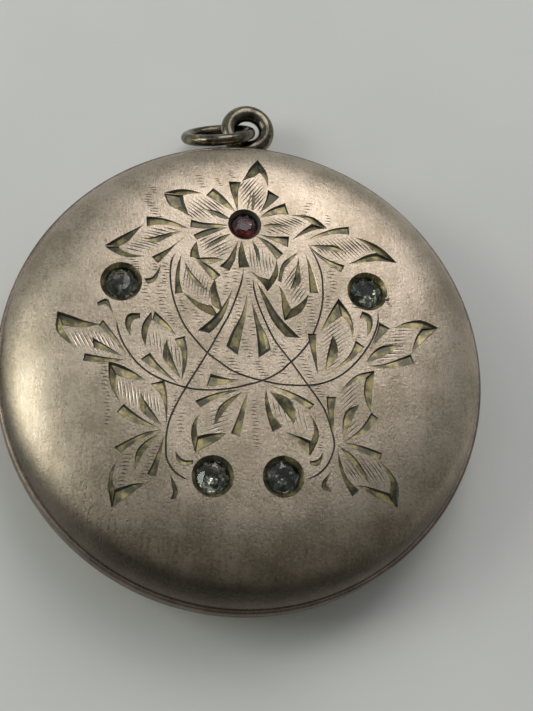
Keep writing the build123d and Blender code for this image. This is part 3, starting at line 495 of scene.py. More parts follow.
# ---- building cuts --------------------------------------------------------------------
def smooth_path(points, count):
    """count + 1 places along a Catmull-Rom curve through points."""
    p = np.array([points[0], *points, points[-1]], float)
    places = []
    for i in range(count + 1):
        u = i / count * (len(points) - 1)
        k = min(int(u), len(points) - 2)
        t = u - k
        a, b, c, d = p[k:k + 4]
        places.append(0.5 * (2 * b + (c - a) * t + (2 * a - 5 * b + 4 * c - d) * t ** 2
                             + (3 * b - a - 3 * c + d) * t ** 3))
    return np.array(places)


class Engraving:
    """Collects cuts as constrained edges for the mesh and as triangles that give the depth."""

    def __init__(self):
        self.points = []
        self.edges = []
        self.triangles = []

    def chain(self, places, close=False):
        """Adds a line that the mesh has to follow."""
        start = len(self.points)
        self.points.extend(places)
        last = len(places) - 1
        self.edges.extend((start + i, start + i + 1) for i in range(last))
        if close:
            self.edges.append((start + last, start))

    def facet(self, corners, depths, finish):
        """Adds a flat triangle of a cut's floor."""
        self.triangles.append((np.array(corners), np.array(depths, float), finish))

    def cut(self, steep, broad, floor, slope, end_wall):
        """A hollow between two edges, made of the strips that its floor lists."""
        width = np.linalg.norm(broad - steep, axis=1)
        depth = np.minimum(width * slope, CUT_DEEPEST)
        lines = [(steep, depth * 0)]
        for share, part, _ in floor:
            lines.append((steep + (broad - steep) * share, depth * part))
        blunt = width[-1] > end_wall
        if blunt:
            for line, _ in lines[1:-1]:
                back = line[-2] - line[-1]
                line[-1] += back * min(0.8, end_wall / np.linalg.norm(back))
            mouth = [line[-1] for line, _ in lines]
            self.chain(mouth, close=True)
            drops = [deep[-1] for _, deep in lines]
            for i in range(1, len(mouth) - 1):
                # the blunt end's wall is painted shade
                self.facet([mouth[0], mouth[i], mouth[i + 1]], [0, drops[i], drops[i + 1]], SHADE_AND_GRIME)
        for line, _ in lines:
            self.chain(line)
        for (a, deep_a), (b, deep_b), (_, _, finish) in zip(lines, lines[1:], floor):
            for i in range(len(a) - 1):
                self.facet([a[i], b[i], b[i + 1]], [deep_a[i], deep_b[i], deep_b[i + 1]], finish)
                self.facet([a[i], b[i + 1], a[i + 1]], [deep_a[i], deep_b[i + 1], deep_a[i + 1]], finish)

    def stroke(self, start, end, width, gentle_finish):
        """A short straight scratch, pointed at both ends, with its steep side up and to the left; that side
        is painted shade and the gentle side takes the finish given.
        """
        middle = (start + end) / 2
        along = end - start
        across = np.array([-along[1], along[0]]) / np.linalg.norm(along) * width
        if across @ STROKE_STEEP_SIDE < 0:
            across = -across
        deepest = middle + across * STROKE_DEEPEST
        self.chain([start, middle + across / 2, end, middle - across / 2], close=True)
        self.chain([start, deepest, end])
        for side, finish in ((across / 2, SHADE_AND_GRIME), (-across / 2, gentle_finish)):
            for tip in (start, end):
                self.facet([tip, deepest, middle + side], [0, width * STROKE_SLOPE, 0], finish)

    def stem(self, points):
        """A long thin groove, tapered at its ends."""
        count = len(points) * STEM_STEPS
        middle = smooth_path(points, count)
        along = np.gradient(middle, axis=0)
        across = np.stack([-along[:, 1], along[:, 0]], axis=1)
        across /= np.linalg.norm(across, axis=1, keepdims=True)
        from_end = np.minimum(np.arange(count + 1), count - np.arange(count + 1))
        taper = np.minimum(1, from_end / STEM_STEPS)
        half = (across.T * taper * STEM_WIDTH / 2).T
        self.cut(middle - half, middle + half, GROOVE_FLOOR, STEM_SLOPE, END_WALL)

    def hatch(self, outline, angle, spacing, rng):
        """Parallel strokes that run most of the way across an outline."""
        poly = np.array(outline)
        poly = poly.mean(axis=0) + (poly - poly.mean(axis=0)) * HATCH_REACH
        along = np.array([cos(radians(angle)), sin(radians(angle))])
        across = np.array([-along[1], along[0]])
        offsets = poly @ across
        offset = offsets.min() + spacing
        while offset < offsets.max() - spacing / 2:
            crossings = []
            for a, b in zip(poly, np.roll(poly, -1, axis=0)):
                da, db = a @ across - offset, b @ across - offset
                if da * db < 0:
                    crossings.append((a + (b - a) * da / (da - db)) @ along)
            crossings.sort()
            for low, high in zip(crossings[::2], crossings[1::2]):
                start = low + (high - low) * rng.uniform(*HATCH_START)
                end = low + (high - low) * rng.uniform(*HATCH_END)
                if end - start > HATCH_SHORTEST:
                    ends = [across * offset + along * place for place in (start, end)]
                    # the gentle side is polished metal with a painted highlight
                    self.stroke(*ends, HATCH_WIDTH, POLISH_AND_HIGHLIGHT)
            offset += spacing * rng.uniform(*HATCH_UNEVEN)

    def dashes(self, first, last, length, rng):
        """A stack of short level strokes."""
        count = max(2, ceil(np.linalg.norm(last - first) / DASH_SPACING))
        for i in range(count + 1):
            middle = first + (last - first) * i / count + np.array([rng.uniform(*DASH_SHIFT), 0])
            half = np.array([length * rng.uniform(*DASH_HALF), rng.uniform(*DASH_TILT)])
            self.stroke(middle - half, middle + half, DASH_WIDTH, SATIN)

    def triangulate(self, rings):
        """Triangles between all the lines and some plain rings. Gives the places and the faces."""
        points = [tuple(p) for p in self.points] + [(0.0, 0.0)]
        for radius, count in rings:
            points += [tuple(p) for p in circle(np.zeros(2), radius, count)]
        made = delaunay_2d_cdt([Vector(p) for p in points], self.edges, [], 0, 1e-4, False)
        return np.array([tuple(v) for v in made[0]]), made[2]

    def depth_at(self, places):
        """Depth below the surface at each place, and the finish there, both from the deepest cut."""
        depth = np.zeros(len(places))
        finish = np.full(len(places), SATIN)
        slack = 1e-5
        for corners, depths, facet_finish in self.triangles:
            low, high = corners.min(0) - slack, corners.max(0) + slack
            near = np.nonzero(np.all((places >= low) & (places <= high), axis=1))[0]
            if not len(near):
                continue
            basis = np.array([corners[1] - corners[0], corners[2] - corners[0]]).T
            size = basis[0, 0] * basis[1, 1] - basis[0, 1] * basis[1, 0]
            if abs(size) < 1e-12:
                continue
            away = places[near] - corners[0]
            u = (away[:, 0] * basis[1, 1] - away[:, 1] * basis[0, 1]) / size
            v = (away[:, 1] * basis[0, 0] - away[:, 0] * basis[1, 0]) / size
            inside = (u > -1e-4) & (v > -1e-4) & (u + v < 1 + 1e-4)
            value = depths[0] + u * (depths[1] - depths[0]) + v * (depths[2] - depths[0])
            deeper = inside & (value > depth[near])
            depth[near[deeper]] = value[deeper]
            finish[near[deeper]] = facet_finish
        return depth, finish


def stone_place(node):
    """Where a stone's axis meets the cover's surface, from its solid's box."""
    low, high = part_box(node)
    middle = (low + high) / 2 / MM
    drop = (STONE_SINK * 2 + STONE_GIRDLE + STONE_PAVILION - STONE_CROWN) / 2 * STONES[node]
    normal = dome_normal(np.array([middle.x]), np.array([middle.y]))[0]
    x, y = middle.x + normal[0] * drop, middle.y + normal[1] * drop
    return np.array([x, y])


def full_turn(count):
    """Even angles once round, in radians."""
    return np.arange(count) / count * 2 * pi


def circle(centre, radius, count):
    turn = full_turn(count)
    return centre + radius * np.stack([np.cos(turn), np.sin(turn)], axis=1)


def seat_depth(distance):
    """Depth of a stone's bright-cut recess and bearing at a distance from its axis."""
    bearing = STONE_SINK + STONE_GIRDLE + SEAT_ROOM
    return np.interp(
        distance,
        [0, STONE_RADIUS, STONE_RADIUS + SEAT_ROOM, SEAT_RIM],
        [bearing + STONE_PAVILION, bearing, STONE_SINK, 0],
    )


def engrave_design(work):
    """Adds the flower's and the leaves' cuts, the stems, the hatching and the background dashes."""
    rng = Random(STROKE_SEED)
    for cuts, floor, slope, end_wall in CUT_FAMILIES:
        for point, steep, broad in cuts:
            edges = [smooth_path([point, *edge], CUT_STATIONS) for edge in (steep, broad)]
            work.cut(*edges, floor, slope, end_wall)
    for points in STEMS:
        work.stem(points)
    for outline, angle, spacing in HATCHES:
        work.hatch(outline, angle, spacing, rng)
    for first, last, length in DASH_STACKS:
        work.dashes(np.array(first), np.array(last), length, rng)


def engraved_top():
    """The engraved part of the cover: vertices, triangles, finishes, normals, and the rims' vertices."""
    work = Engraving()
    rim = ENGRAVED_RADIUS * np.stack([np.cos(RIM_TURNS), np.sin(RIM_TURNS)], axis=1)
    work.chain(rim, close=True)
    engrave_design(work)
    stones = [(stone_place(node), size) for node, size in STONES.items()]
    for centre, size in stones:
        for radius in (SEAT_HOLE, STONE_RADIUS, STONE_RADIUS + SEAT_ROOM, SEAT_RIM):
            work.chain(circle(centre, radius * size, SEAT_STATIONS), close=True)
    work.chain(circle(np.array(BODY_PIT), PIT_RADIUS, PIT_STATIONS), close=True)

    rings = int(ENGRAVED_RADIUS / GRID_SPACING)
    fill = [(i * ENGRAVED_RADIUS / (rings + 0.7), 6 * i) for i in range(1, rings + 1)]
    places, faces = work.triangulate(fill + [(r, SHOULDER_STATIONS) for r in SHOULDER_RINGS])
    faces = np.array(faces)

    depth, _ = work.depth_at(places)
    for centre, size in stones:
        distance = np.hypot(*(places - centre).T) / size
        inside = distance < SEAT_RIM + 1e-6
        depth[inside] = np.maximum(depth[inside], seat_depth(distance[inside]) * size)
    distance = np.hypot(*(places - np.array(BODY_PIT)).T)
    depth[distance < PIT_RADIUS * 0.9] = PIT_DEPTH

    middles = places[faces].mean(axis=1)
    away = np.array([np.hypot(*(middles - centre).T) / size for centre, size in stones]).min(axis=0)
    keep = away > SEAT_HOLE
    faces, middles, away = faces[keep], middles[keep], away[keep]
    normals = dome_normal(places[:, 0], places[:, 1])
    surface = np.column_stack([places, dome_height(np.hypot(places[:, 0], places[:, 1]))])
    solid = surface - normals * depth[:, None]
    _, finish = work.depth_at(middles)
    finish[away < SEAT_RIM] = CUT
    # Painted shade: a dark ring round the red stone, and in the gap round every stone
    finish[np.hypot(*(middles - stone_place("stone_red")).T) < SEAT_RIM * RED_STONE_SIZE] = SHADE_AND_GRIME
    finish[away < STONE_RADIUS + SEAT_ROOM] = SHADE_AND_GRIME
    rims = [nearest(places, rim)]
    rims += [nearest(places, circle(centre, SEAT_HOLE * size, SEAT_STATIONS)) for centre, size in stones]
    return solid, faces, finish, normals, rims


def nearest(places, wanted):
    """Index of the vertex at each wanted place."""
    return [int(np.hypot(*(places - place).T).argmin()) for place in wanted]


# ---- turned pieces --------------------------------------------------------------------
class Shape:
    """Vertices in millimetres, faces with a normal for each corner, and a material number for each face."""

    def __init__(self):
        self.verts = []
        self.faces = []
        self.normals = []
        self.finish = []

    def add_vert(self, place):
        self.verts.append(np.array(place, float))
        return len(self.verts) - 1

    def add_face(self, corners, normals=None, finish=0):
        self.faces.append(list(corners))
        self.normals.append(normals if normals is not None else [(0, 0, 0)] * len(corners))
        self.finish.append(finish)

    def transform(self, matrix):
        turn = matrix.to_3x3().normalized()
        self.verts = [np.array(matrix @ Vector(v)) for v in self.verts]
        self.normals = [[tuple(turn @ Vector(n)) for n in corners] for corners in self.normals]
        return self

    def join(self, other, weld=()):
        """Adds another shape. A weld is (own vertices, the first of the other's that become them)."""
        start = len(self.verts)
        index = [start + i for i in range(len(other.verts))]
        for own, first in weld:
            for i, vertex in enumerate(own):
                index[first + i] = vertex
        self.verts += other.verts
        self.faces += [[index[i] for i in face] for face in other.faces]
        self.normals += other.normals
        self.finish += other.finish
        return self

    def piece(self, name, body, slot, replaced, materials):
        """The finished object, riding on a body in place of the CAD nodes named."""
        mesh = bpy.data.meshes.new(name)
        used = sorted({i for face in self.faces for i in face})
        new_index = {old: new for new, old in enumerate(used)}
        faces = [[new_index[i] for i in face] for face in self.faces]
        mesh.from_pydata([tuple(self.verts[i] * MM) for i in used], [], faces)
        mesh.polygons.foreach_set("material_index", self.finish)
        mesh.polygons.foreach_set("use_smooth", [True] * len(self.faces))
        mesh.update()
        flat = [p.normal[:] for p in mesh.polygons]
        corners = []
        for index, wanted in enumerate(self.normals):
            corners += [n if any(n) else flat[index] for n in wanted]
        mesh.normals_split_custom_set(corners)
        thing = bpy.data.objects.new(name, mesh)
        bpy.context.scene.collection.objects.link(thing)
        for material in materials:
            mesh.materials.append(material)
        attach(thing, body)
        if replaced:
            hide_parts(*replaced)
        return thing


FULL_TURN = full_turn(RIM_STATIONS)
CREASE = cos(radians(35))       # edges that turn more than this stay sharp


def section_normals(section, closed=False):
    """For each step of a section, the (r, z) normals at its start and end, creased at corners."""
    steps = np.diff(np.array(section), axis=0)
    normals = np.stack([-steps[:, 1], steps[:, 0]], axis=1)
    normals /= np.linalg.norm(normals, axis=1, keepdims=True)
    count = len(normals)
    pairs = []
    for i in range(count):
        ends = []
        for other in (i - 1, i + 1):
            if closed:
                other %= count
            mate = normals[other] if 0 <= other < count else normals[i]
            blend = normals[i] + mate if mate @ normals[i] > CREASE else normals[i]
            ends.append(blend / np.linalg.norm(blend))
        pairs.append(ends)
    return pairs


def lathe(section, turns=FULL_TURN, finish=0, closed=False):
    """Turns a section of (r, z) points, drawn clockwise round the metal, about the Z axis.

    The finish is one material number, or a list with one for each step of the section.
    """
    shape = Shape()
    count = len(turns)
    rings = []
    for j, (r, z) in enumerate(section):
        if closed and j == len(section) - 1:
            rings.append(rings[0])
        elif r < 1e-9:
            rings.append([shape.add_vert((0, 0, z))] * count)
        else:
            rings.append([shape.add_vert((r * cos(t), r * sin(t), z)) for t in turns])
    for j, (start, end) in enumerate(section_normals(section, closed)):
        step_finish = finish[j] if isinstance(finish, list) else finish
        for i in range(count):
            k = (i + 1) % count
            corners = [(rings[j][i], start, i), (rings[j + 1][i], end, i),
                       (rings[j + 1][k], end, k), (rings[j][k], start, k)]
            if section[j][0] < 1e-9:
                corners.pop(3)
            elif section[j + 1][0] < 1e-9:
                corners.pop(2)
            normals = [(n[0] * cos(turns[t]), n[0] * sin(turns[t]), n[1]) for _, n, t in corners]
            shape.add_face([v for v, _, _ in corners], normals, step_finish)
    return shape


def arc(centre, radius, start, end, count):
    """Points along a circular arc in the (r, z) plane, angles in degrees."""
    turns = [radians(start + (end - start) * i / count) for i in range(count + 1)]
    return [(centre[0] + radius * cos(t), centre[1] + radius * sin(t)) for t in turns]


def dome_section(radius, rise, power, flat, first, last, count, spread=0.0):
    """Part of a cover's section between two superellipse turns, in degrees. The foot spreads a little."""
    points = []
    for i in range(count + 1):
        turn = radians(first + (last - first) * i / count)
        r = flat + (radius - flat) * sin(turn) ** (2 / power)
        r += spread * max(0, (r - ENGRAVED_RADIUS) / (radius - ENGRAVED_RADIUS)) ** 2
        points.append((r, BEAD_HEIGHT + rise * cos(turn)))
    return points


def band_section():
    """The bead's outside and the seam face, from the foot of the dome inwards."""
    corner = (CASE_RADIUS - BEAD_ROUND, BEAD_HEIGHT - BEAD_ROUND)
    outside = [(DOME_RADIUS + FOOT_SPREAD + 0.01, BEAD_HEIGHT - 0.01)] + arc(corner, BEAD_ROUND, 80, 0, 6)
    seam = [(CASE_RADIUS, SEAM_BREAK), (CASE_RADIUS - SEAM_BREAK, 0), (RIM_OUTER, 0)]
    return outside + seam + [(RIM_OUTER, BEAD_HEIGHT)]


def scoop(shape):
    """Clears the hinge barrels' recess out of a cover whose seam is at z = 0."""
    for i, (x, y, z) in enumerate(shape.verts):
        if x < 0 and abs(y) < HINGE_HALF_LENGTH and abs(z) < HINGE_RECESS:
            limit = HINGE_X + sqrt(HINGE_RECESS ** 2 - z ** 2)
            if x < limit:
                shape.verts[i][0] = limit
    return shape


def half_back():
    """Turns a half that is built with its seam at z = 0 and its depth upwards into the back half."""
    return Matrix.Translation((0, 0, SEAM_Z)) @ Matrix.Rotation(pi, 4, "X")


def half_front():
    """The same for the front half, whose depth stays upwards."""
    return Matrix.Translation((0, 0, SEAM_Z))


# ---- the covers -----------------------------------------------------------------------
def front_cover(materials):
    verts, faces, finishes, normals, rims = engraved_top()
    shape = Shape()
    for v in verts:
        shape.add_vert(v)
    for face, finish in zip(faces, finishes):
        smooth = finish == SATIN
        shape.add_face(face, [tuple(normals[i]) for i in face] if smooth else None, int(finish))
    sheet_rim = inner_sheet(shape, rims[1:])
    first = np.degrees(np.arcsin((ENGRAVED_RADIUS / DOME_RADIUS) ** (FRONT_POWER / 2)))
    outside = dome_section(DOME_RADIUS, FRONT_RISE, FRONT_POWER, 0, first, FOOT_TURN, 12, FOOT_SPREAD)
    last = np.degrees(np.arcsin((SHEET_RADIUS / RIM_OUTER) ** (FRONT_POWER / 2)))
    inside = dome_section(RIM_OUTER, FRONT_RISE - WALL, FRONT_POWER, 0, 90, last, 6)
    band = band_section()
    finish = [SATIN] * (len(outside) - 1) + [BAND] * (len(band) + 1) + [SATIN] * (len(inside) - 2)
    shell = lathe(outside + band + inside[1:], turns=RIM_TURNS, finish=finish)
    shell = scoop(shell).transform(half_front())
    shape.join(shell, weld=((rims[0], 0), (sheet_rim, len(shell.verts) - len(RIM_TURNS))))
    return shape.piece("engraved_front_cover", "front", "case_front", ["front_cover"], materials)


def inner_sheet(shape, seat_rings):
    """The dome's inside, open round each stone. Gives the vertices of its outer rim."""
    rim = SHEET_RADIUS * np.stack([np.cos(RIM_TURNS), np.sin(RIM_TURNS)], axis=1)
    work = Engraving()
    work.chain(rim, close=True)
    seats = [np.array([shape.verts[i] for i in ring]) for ring in seat_rings]
    for seat in seats:
        work.chain(seat[:, :2], close=True)
    fill = [(SHEET_RADIUS * i / SHEET_RINGS, 6 * i) for i in range(1, SHEET_RINGS)]
    places, faces = work.triangulate(fill)
    r = np.hypot(places[:, 0], places[:, 1])
    z = SEAM_Z + BEAD_HEIGHT + (FRONT_RISE - WALL) * np.sqrt(1 - (r / RIM_OUTER) ** FRONT_POWER)
    index = [shape.add_vert((*place, height)) for place, height in zip(places, z)]
    for seat, ring in zip(seats, seat_rings):
        for found, original in zip(nearest(places, seat[:, :2]), ring):
            index[found] = original
    for face in faces:
        middle = places[list(face)].mean(axis=0)
        in_seat = any(
            np.hypot(*(middle - seat[:, :2].mean(axis=0))) < SEAT_HOLE * size - 0.01
            for seat, size in zip(seats, STONES.values())
        )
        if not in_seat:
            shape.add_face([index[i] for i in reversed(face)])
    return [index[i] for i in nearest(places, rim)]


def back_cover(materials):
    rise = SEAM_Z - BEAD_HEIGHT
    outside = dome_section(DOME_RADIUS, rise, BACK_POWER, BACK_FLAT_RADIUS, 0, FOOT_TURN, 30, FOOT_SPREAD)
    inside = dome_section(RIM_OUTER, rise - WALL, BACK_POWER, BACK_FLAT_RADIUS, 90, 0, 16)
    band = band_section()
    section = [(0, SEAM_Z), (BACK_FLAT_RADIUS / 2, SEAM_Z)] + outside + band + inside[1:]
    section.append((0, SEAM_Z - WALL))
    satin, band_shade = 0, 1
    # the band takes the painted-shade finish
    finish = [satin] * (len(outside) + 1) + [band_shade] * (len(band) + 1) + [satin] * (len(inside) - 1)
    shape = scoop(lathe(section, turns=RIM_TURNS, finish=finish))
    reach = CASE_RADIUS - NAIL_NOTCH_DEPTH + NAIL_NOTCH_RADIUS
    for i, (x, y, z) in enumerate(shape.verts):
        away = hypot(x - reach, y)
        if x > 0 and z <= NAIL_NOTCH_HEIGHT + 0.02 and away < NAIL_NOTCH_RADIUS:
            shape.verts[i][0] = reach - sqrt(NAIL_NOTCH_RADIUS ** 2 - y ** 2)
    shape.transform(half_back())
    return shape.piece("plain_back_cover", "back", "case_back", ["back_cover"], materials)


# ---- rims, frames, windows and cards --------------------------------------------------
def rim_ring(half, place, materials):
    """Ring inside a cover: the back one carries the snap lip and the front one its seat."""
    outer = RIM_OUTER - RIM_ROOM
    section = [(RIM_INNER, RIM_DEPTH), (outer - RIM_TAPER, RIM_DEPTH)]
    section += [(outer, BEAD_HEIGHT), (outer, 2 * HAIR)]
    if half == "back":
        tip = LIP_REACH + LIP_ROUND - LIP_BREAK
        section += [(LIP_OUTER, 0)] + arc((LIP_OUTER - LIP_ROUND, -LIP_REACH), LIP_ROUND, 0, -90, 5)
        section += arc((LIP_INNER + LIP_BREAK, -tip), LIP_BREAK, -90, -180, 3)
        section += [(LIP_INNER, 0), (RIM_INNER, 0)]
    else:
        section += [(LIP_SEAT_OUTER + SEAM_BREAK, 0), (LIP_SEAT_OUTER, SEAM_BREAK)]
        section += [(r, LIP_SEAT_DEPTH) for r in (LIP_SEAT_OUTER, LIP_SEAT_INNER)]
        section.append((RIM_INNER, LIP_SEAT_DEPTH + LIP_SEAT_BREAK))
    section.append(section[0])
    shape = lathe(section, closed=True).transform(place)
    return shape.piece(f"{half}_rim", half, f"rim_{half}", [f"{half}_rim_ring"], materials)


def picture_frame(half, place, materials):
    """Bead and skirt round the window, with a milled line and the nail notch that lifts it out."""
    edge = FRAME_HIGH - FRAME_EDGE
    section = [(FRAME_SKIRT_INNER, FRAME_HIGH), (FRAME_INNER, FRAME_HIGH)]
    section.append((FRAME_INNER, FRAME_HIGH - FRAME_LIP))
    for i in range(1, FRAME_STEPS):
        share = i / FRAME_STEPS
        r = FRAME_INNER + (FRAME_OUTER - FRAME_INNER) * share
        groove = FRAME_GROOVE_DEPTH if i in FRAME_GROOVES else 0
        section.append((r, edge - (edge - FRAME_LOW) * sin(pi * share) ** FRAME_POWER + groove))
    section += [(FRAME_OUTER, edge), (FRAME_OUTER, RIM_DEPTH), (FRAME_SKIRT_INNER, RIM_DEPTH)]
    section = section[::-1]
    section.append(section[0])
    shape = lathe(section, closed=True)
    for i, (x, y, z) in enumerate(shape.verts):
        away = hypot(x - FRAME_INNER, y) / FRAME_NOTCH_RADIUS
        if away < 1 and z < FRAME_HIGH:
            shape.verts[i][2] = max(z, FRAME_HIGH - FRAME_NOTCH_LOW - FRAME_NOTCH_RISE * away ** 3)
    shape.transform(place)
    return shape.piece(f"{half}_gilt_frame", half, f"frame_{half}", [f"{half}_picture_frame"], materials)


def window(half, place, materials):
    low, high = FRAME_HIGH + HAIR, FRAME_HIGH + WINDOW_THICKNESS - 2 * HAIR
    inside = WINDOW_RADIUS - WINDOW_EDGE
    section = [(0, low), (inside, low), (WINDOW_RADIUS, low + WINDOW_EDGE),
               (WINDOW_RADIUS, high - WINDOW_EDGE), (inside, high), (0, high)]
    shape = lathe(section[::-1]).transform(place)
    return shape.piece(f"{half}_window", half, f"window_{half}", [f"{half}_picture_window"], materials)


def card(half, place, materials):
    """Blank card behind the window."""
    low = FRAME_HIGH + WINDOW_THICKNESS
    high = low + CARD_THICKNESS - HAIR
    radius = WINDOW_RADIUS - CARD_SHRINK
    section = [(0, high), (radius, high), (radius, low), (0, low)]
    shape = lathe(section).transform(place)
    return shape.piece(f"{half}_card", half, f"card_{half}", [f"{half}_picture_card"], materials)


# ---- stones ---------------------------------------------------------------------------
def brilliant():
    """A round brilliant cut stone with its girdle's top at z = 0: crown faces 0, pavilion faces 1."""
    shape = Shape()

    def ring(radius, z, count, offset=0.0):
        turns = [(i + offset) / count * 2 * pi for i in range(count)]
        return [shape.add_vert((radius * cos(t), radius * sin(t), z)) for t in turns]

    half_turn = cos(pi / FACET_SIDES)
    crown_r = STONE_RADIUS * CROWN_RING
    crown_z = STONE_CROWN * (STONE_RADIUS - crown_r * half_turn) / (STONE_RADIUS - STONE_TABLE)
    low_r = STONE_RADIUS * PAVILION_RING
    low_z = -STONE_GIRDLE - STONE_PAVILION * (1 - low_r * half_turn / STONE_RADIUS)
    table = ring(STONE_TABLE, STONE_CROWN, FACET_SIDES)
    crown = ring(crown_r, crown_z, FACET_SIDES, 0.5)
    upper = ring(STONE_RADIUS, 0, 2 * FACET_SIDES)
    lower = ring(STONE_RADIUS, -STONE_GIRDLE, 2 * FACET_SIDES)
    low = ring(low_r, low_z, FACET_SIDES, 0.5)
    culet = shape.add_vert((0, 0, -STONE_GIRDLE - STONE_PAVILION))
    shape.add_face(table)
    for k in range(FACET_SIDES):
        after, before = (k + 1) % FACET_SIDES, (k - 1) % FACET_SIDES
        even, odd, following = 2 * k, 2 * k + 1, 2 * after
        shape.add_face([table[k], crown[k], table[after]])
        shape.add_face([table[k], crown[before], upper[even], crown[k]])
        shape.add_face([crown[k], upper[even], upper[odd]])
        shape.add_face([crown[k], upper[odd], upper[following]])
        for a, b in ((even, odd), (odd, following)):
            shape.add_face([upper[a], lower[a], lower[b], upper[b]], finish=1)
            shape.add_face([low[k], lower[b], lower[a]], finish=1)
        shape.add_face([culet, low[k], lower[even], low[before]], finish=1)
    return shape


def surface_place(node):
    """Matrix that puts a shape on the cover over a node, with its Z along the surface normal."""
    x, y = stone_place(node)
    normal = Vector(dome_normal(np.array([x]), np.array([y]))[0])
    across = Vector((0, 1, 0)).cross(normal).normalized()
    turn = Matrix((across, normal.cross(across), normal)).transposed().to_4x4()
    return Matrix.Translation((x, y, float(dome_height(hypot(x, y))))) @ turn


def stones(clear, red):
    for number, (node, size) in enumerate(STONES.items()):
        is_red = node == "stone_red"
        turn = Matrix.Rotation(radians(STONE_TURN + number * STONE_TURN_STEP), 4, "Z")
        shape = brilliant()
        sunk = Matrix.Translation((0, 0, -STONE_SINK * size)) @ Matrix.Scale(size, 4)
        shape.transform(surface_place(node) @ sunk @ turn)
        slot = "red_stone" if is_red else "clear_stone"
        shape.piece(f"cut_{node}", "front", slot, [node], red if is_red else clear)


def setting_grain(material):
    """The bead of metal raised beside the right-hand stone."""
    turns = [radians(t) for t in (0, 20, 40, 60, 80, 90)]
    section = [(GRAIN_RADIUS * sin(t), GRAIN_HEIGHT * cos(t)) for t in turns]
    section += [(GRAIN_RADIUS, -GRAIN_ROOT), (0, -GRAIN_ROOT)]
    x, y = GRAIN_PLACE
    normal = Vector(dome_normal(np.array([x]), np.array([y]))[0])
    turn = normal.to_track_quat("Z", "Y").to_matrix().to_4x4()
    place = Matrix.Translation((x, y, float(dome_height(hypot(x, y))))) @ turn
    shape = lathe(section, turns=full_turn(20)).transform(place)
    shape.piece("setting_grain", "front", "case_front", [], [material])


# ---- hinge, bail and jump ring --------------------------------------------------------
def hinge_place(y):
    """Puts a turned piece's axis on the hinge axis, centred at y."""
    return Matrix.Translation((HINGE_X, y, SEAM_Z)) @ Matrix.Rotation(radians(-90), 4, "X")


def knuckle(name, node, y, side, material):
    """One hinge barrel and the solder web that holds it in its cover's recess."""
    half = KNUCKLE_LENGTH / 2
    bore = PIN_RADIUS + (LOOSE_BORE if side > 0 else TIGHT_BORE)
    outer, edge = KNUCKLE_RADIUS, KNUCKLE_BREAK
    upper = [(bore, half - BORE_BREAK), (bore + BORE_BREAK, half), (outer - edge, half),
             (outer - 0.3 * edge, half - 0.3 * edge), (outer, half - edge)]
    section = upper + [(r, -z) for r, z in reversed(upper)] + upper[:1]
    shape = lathe(section, turns=full_turn(72), closed=True).transform(hinge_place(y))
    web = Shape()
    angles = [radians(a) for a in range(12, 73, 6)]
    corners = [(WEB_REACH, a) for a in angles] + [(WEB_INSIDE, angles[-1]), (WEB_INSIDE, angles[0])]
    outline = [(HINGE_X + r * cos(a), SEAM_Z + side * r * sin(a)) for r, a in corners]
    if side > 0:
        outline.reverse()
    near = [web.add_vert((x, y - half + 0.01, z)) for x, z in outline]
    far = [web.add_vert((x, y + half - 0.01, z)) for x, z in outline]
    count = len(outline)
    web.add_face(near[::-1])
    web.add_face(far)
    for i in range(count):
        k = (i + 1) % count
        web.add_face([near[i], near[k], far[k], far[i]])
    shape.join(web)
    body = "front" if side > 0 else "back"
    shape.piece(name, body, "hinge", [node], [material])


def hinge(barrel, steel):
    pitch = KNUCKLE_LENGTH + KNUCKLE_GAP
    knuckle("hinge_barrel_front", "hinge_knuckle_front", 0, 1, barrel)
    knuckle("hinge_barrel_back_upper", "hinge_knuckle_back_upper", pitch, -1, barrel)
    knuckle("hinge_barrel_back_lower", "hinge_knuckle_back_lower", -pitch, -1, barrel)
    low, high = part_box("hinge_pin")
    half = (high - low).y / 2 / MM
    upper = [(0, half)] + arc((PIN_RADIUS - PIN_ROUND, half - PIN_ROUND), PIN_ROUND, 90, 0, 4)
    section = upper + [(r, -z) for r, z in reversed(upper)]
    pin = lathe(section, turns=full_turn(48)).transform(hinge_place(0))
    pin.piece("hinge_wire_pin", "back", "pin", ["hinge_pin"], [steel])


def wire_ring(radius, wire, joint=None, swell=0.0):
    """A ring of round wire about Z. A joint is the angle of its cut ends, closed but not soldered."""
    turns = list(full_turn(180))
    if joint is not None:
        turns += [radians(joint) + step for step in JOINT_STEPS]
    turns = np.array(sorted(turns))
    section = arc((radius, 0), wire, 180, -180, 40)
    shape = lathe(section, turns=turns, closed=True)
    for i, (x, y, z) in enumerate(shape.verts):
        turn = np.arctan2(y, x)
        centre = np.array([radius * cos(turn), radius * sin(turn), 0])
        size = 1 - swell * (0.5 + 0.5 * sin(2 * turn + 1))
        if joint is not None:
            away = abs((turn - radians(joint) + pi) % (2 * pi) - pi)
            size -= JOINT_DIP * max(0, 1 - away / JOINT_REACH)
        shape.verts[i] = centre + (np.array([x, y, z]) - centre) * size
    return shape


def bail_loop(material):
    low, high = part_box("bail_loop")
    centre = (low + high) / 2 / MM
    shape = wire_ring(LOOP_RADIUS, LOOP_WIRE, swell=0.05).transform(Matrix.Translation(centre))
    shape.piece("wire_bail_loop", "back", "bail", ["bail_loop"], [material])
    return centre


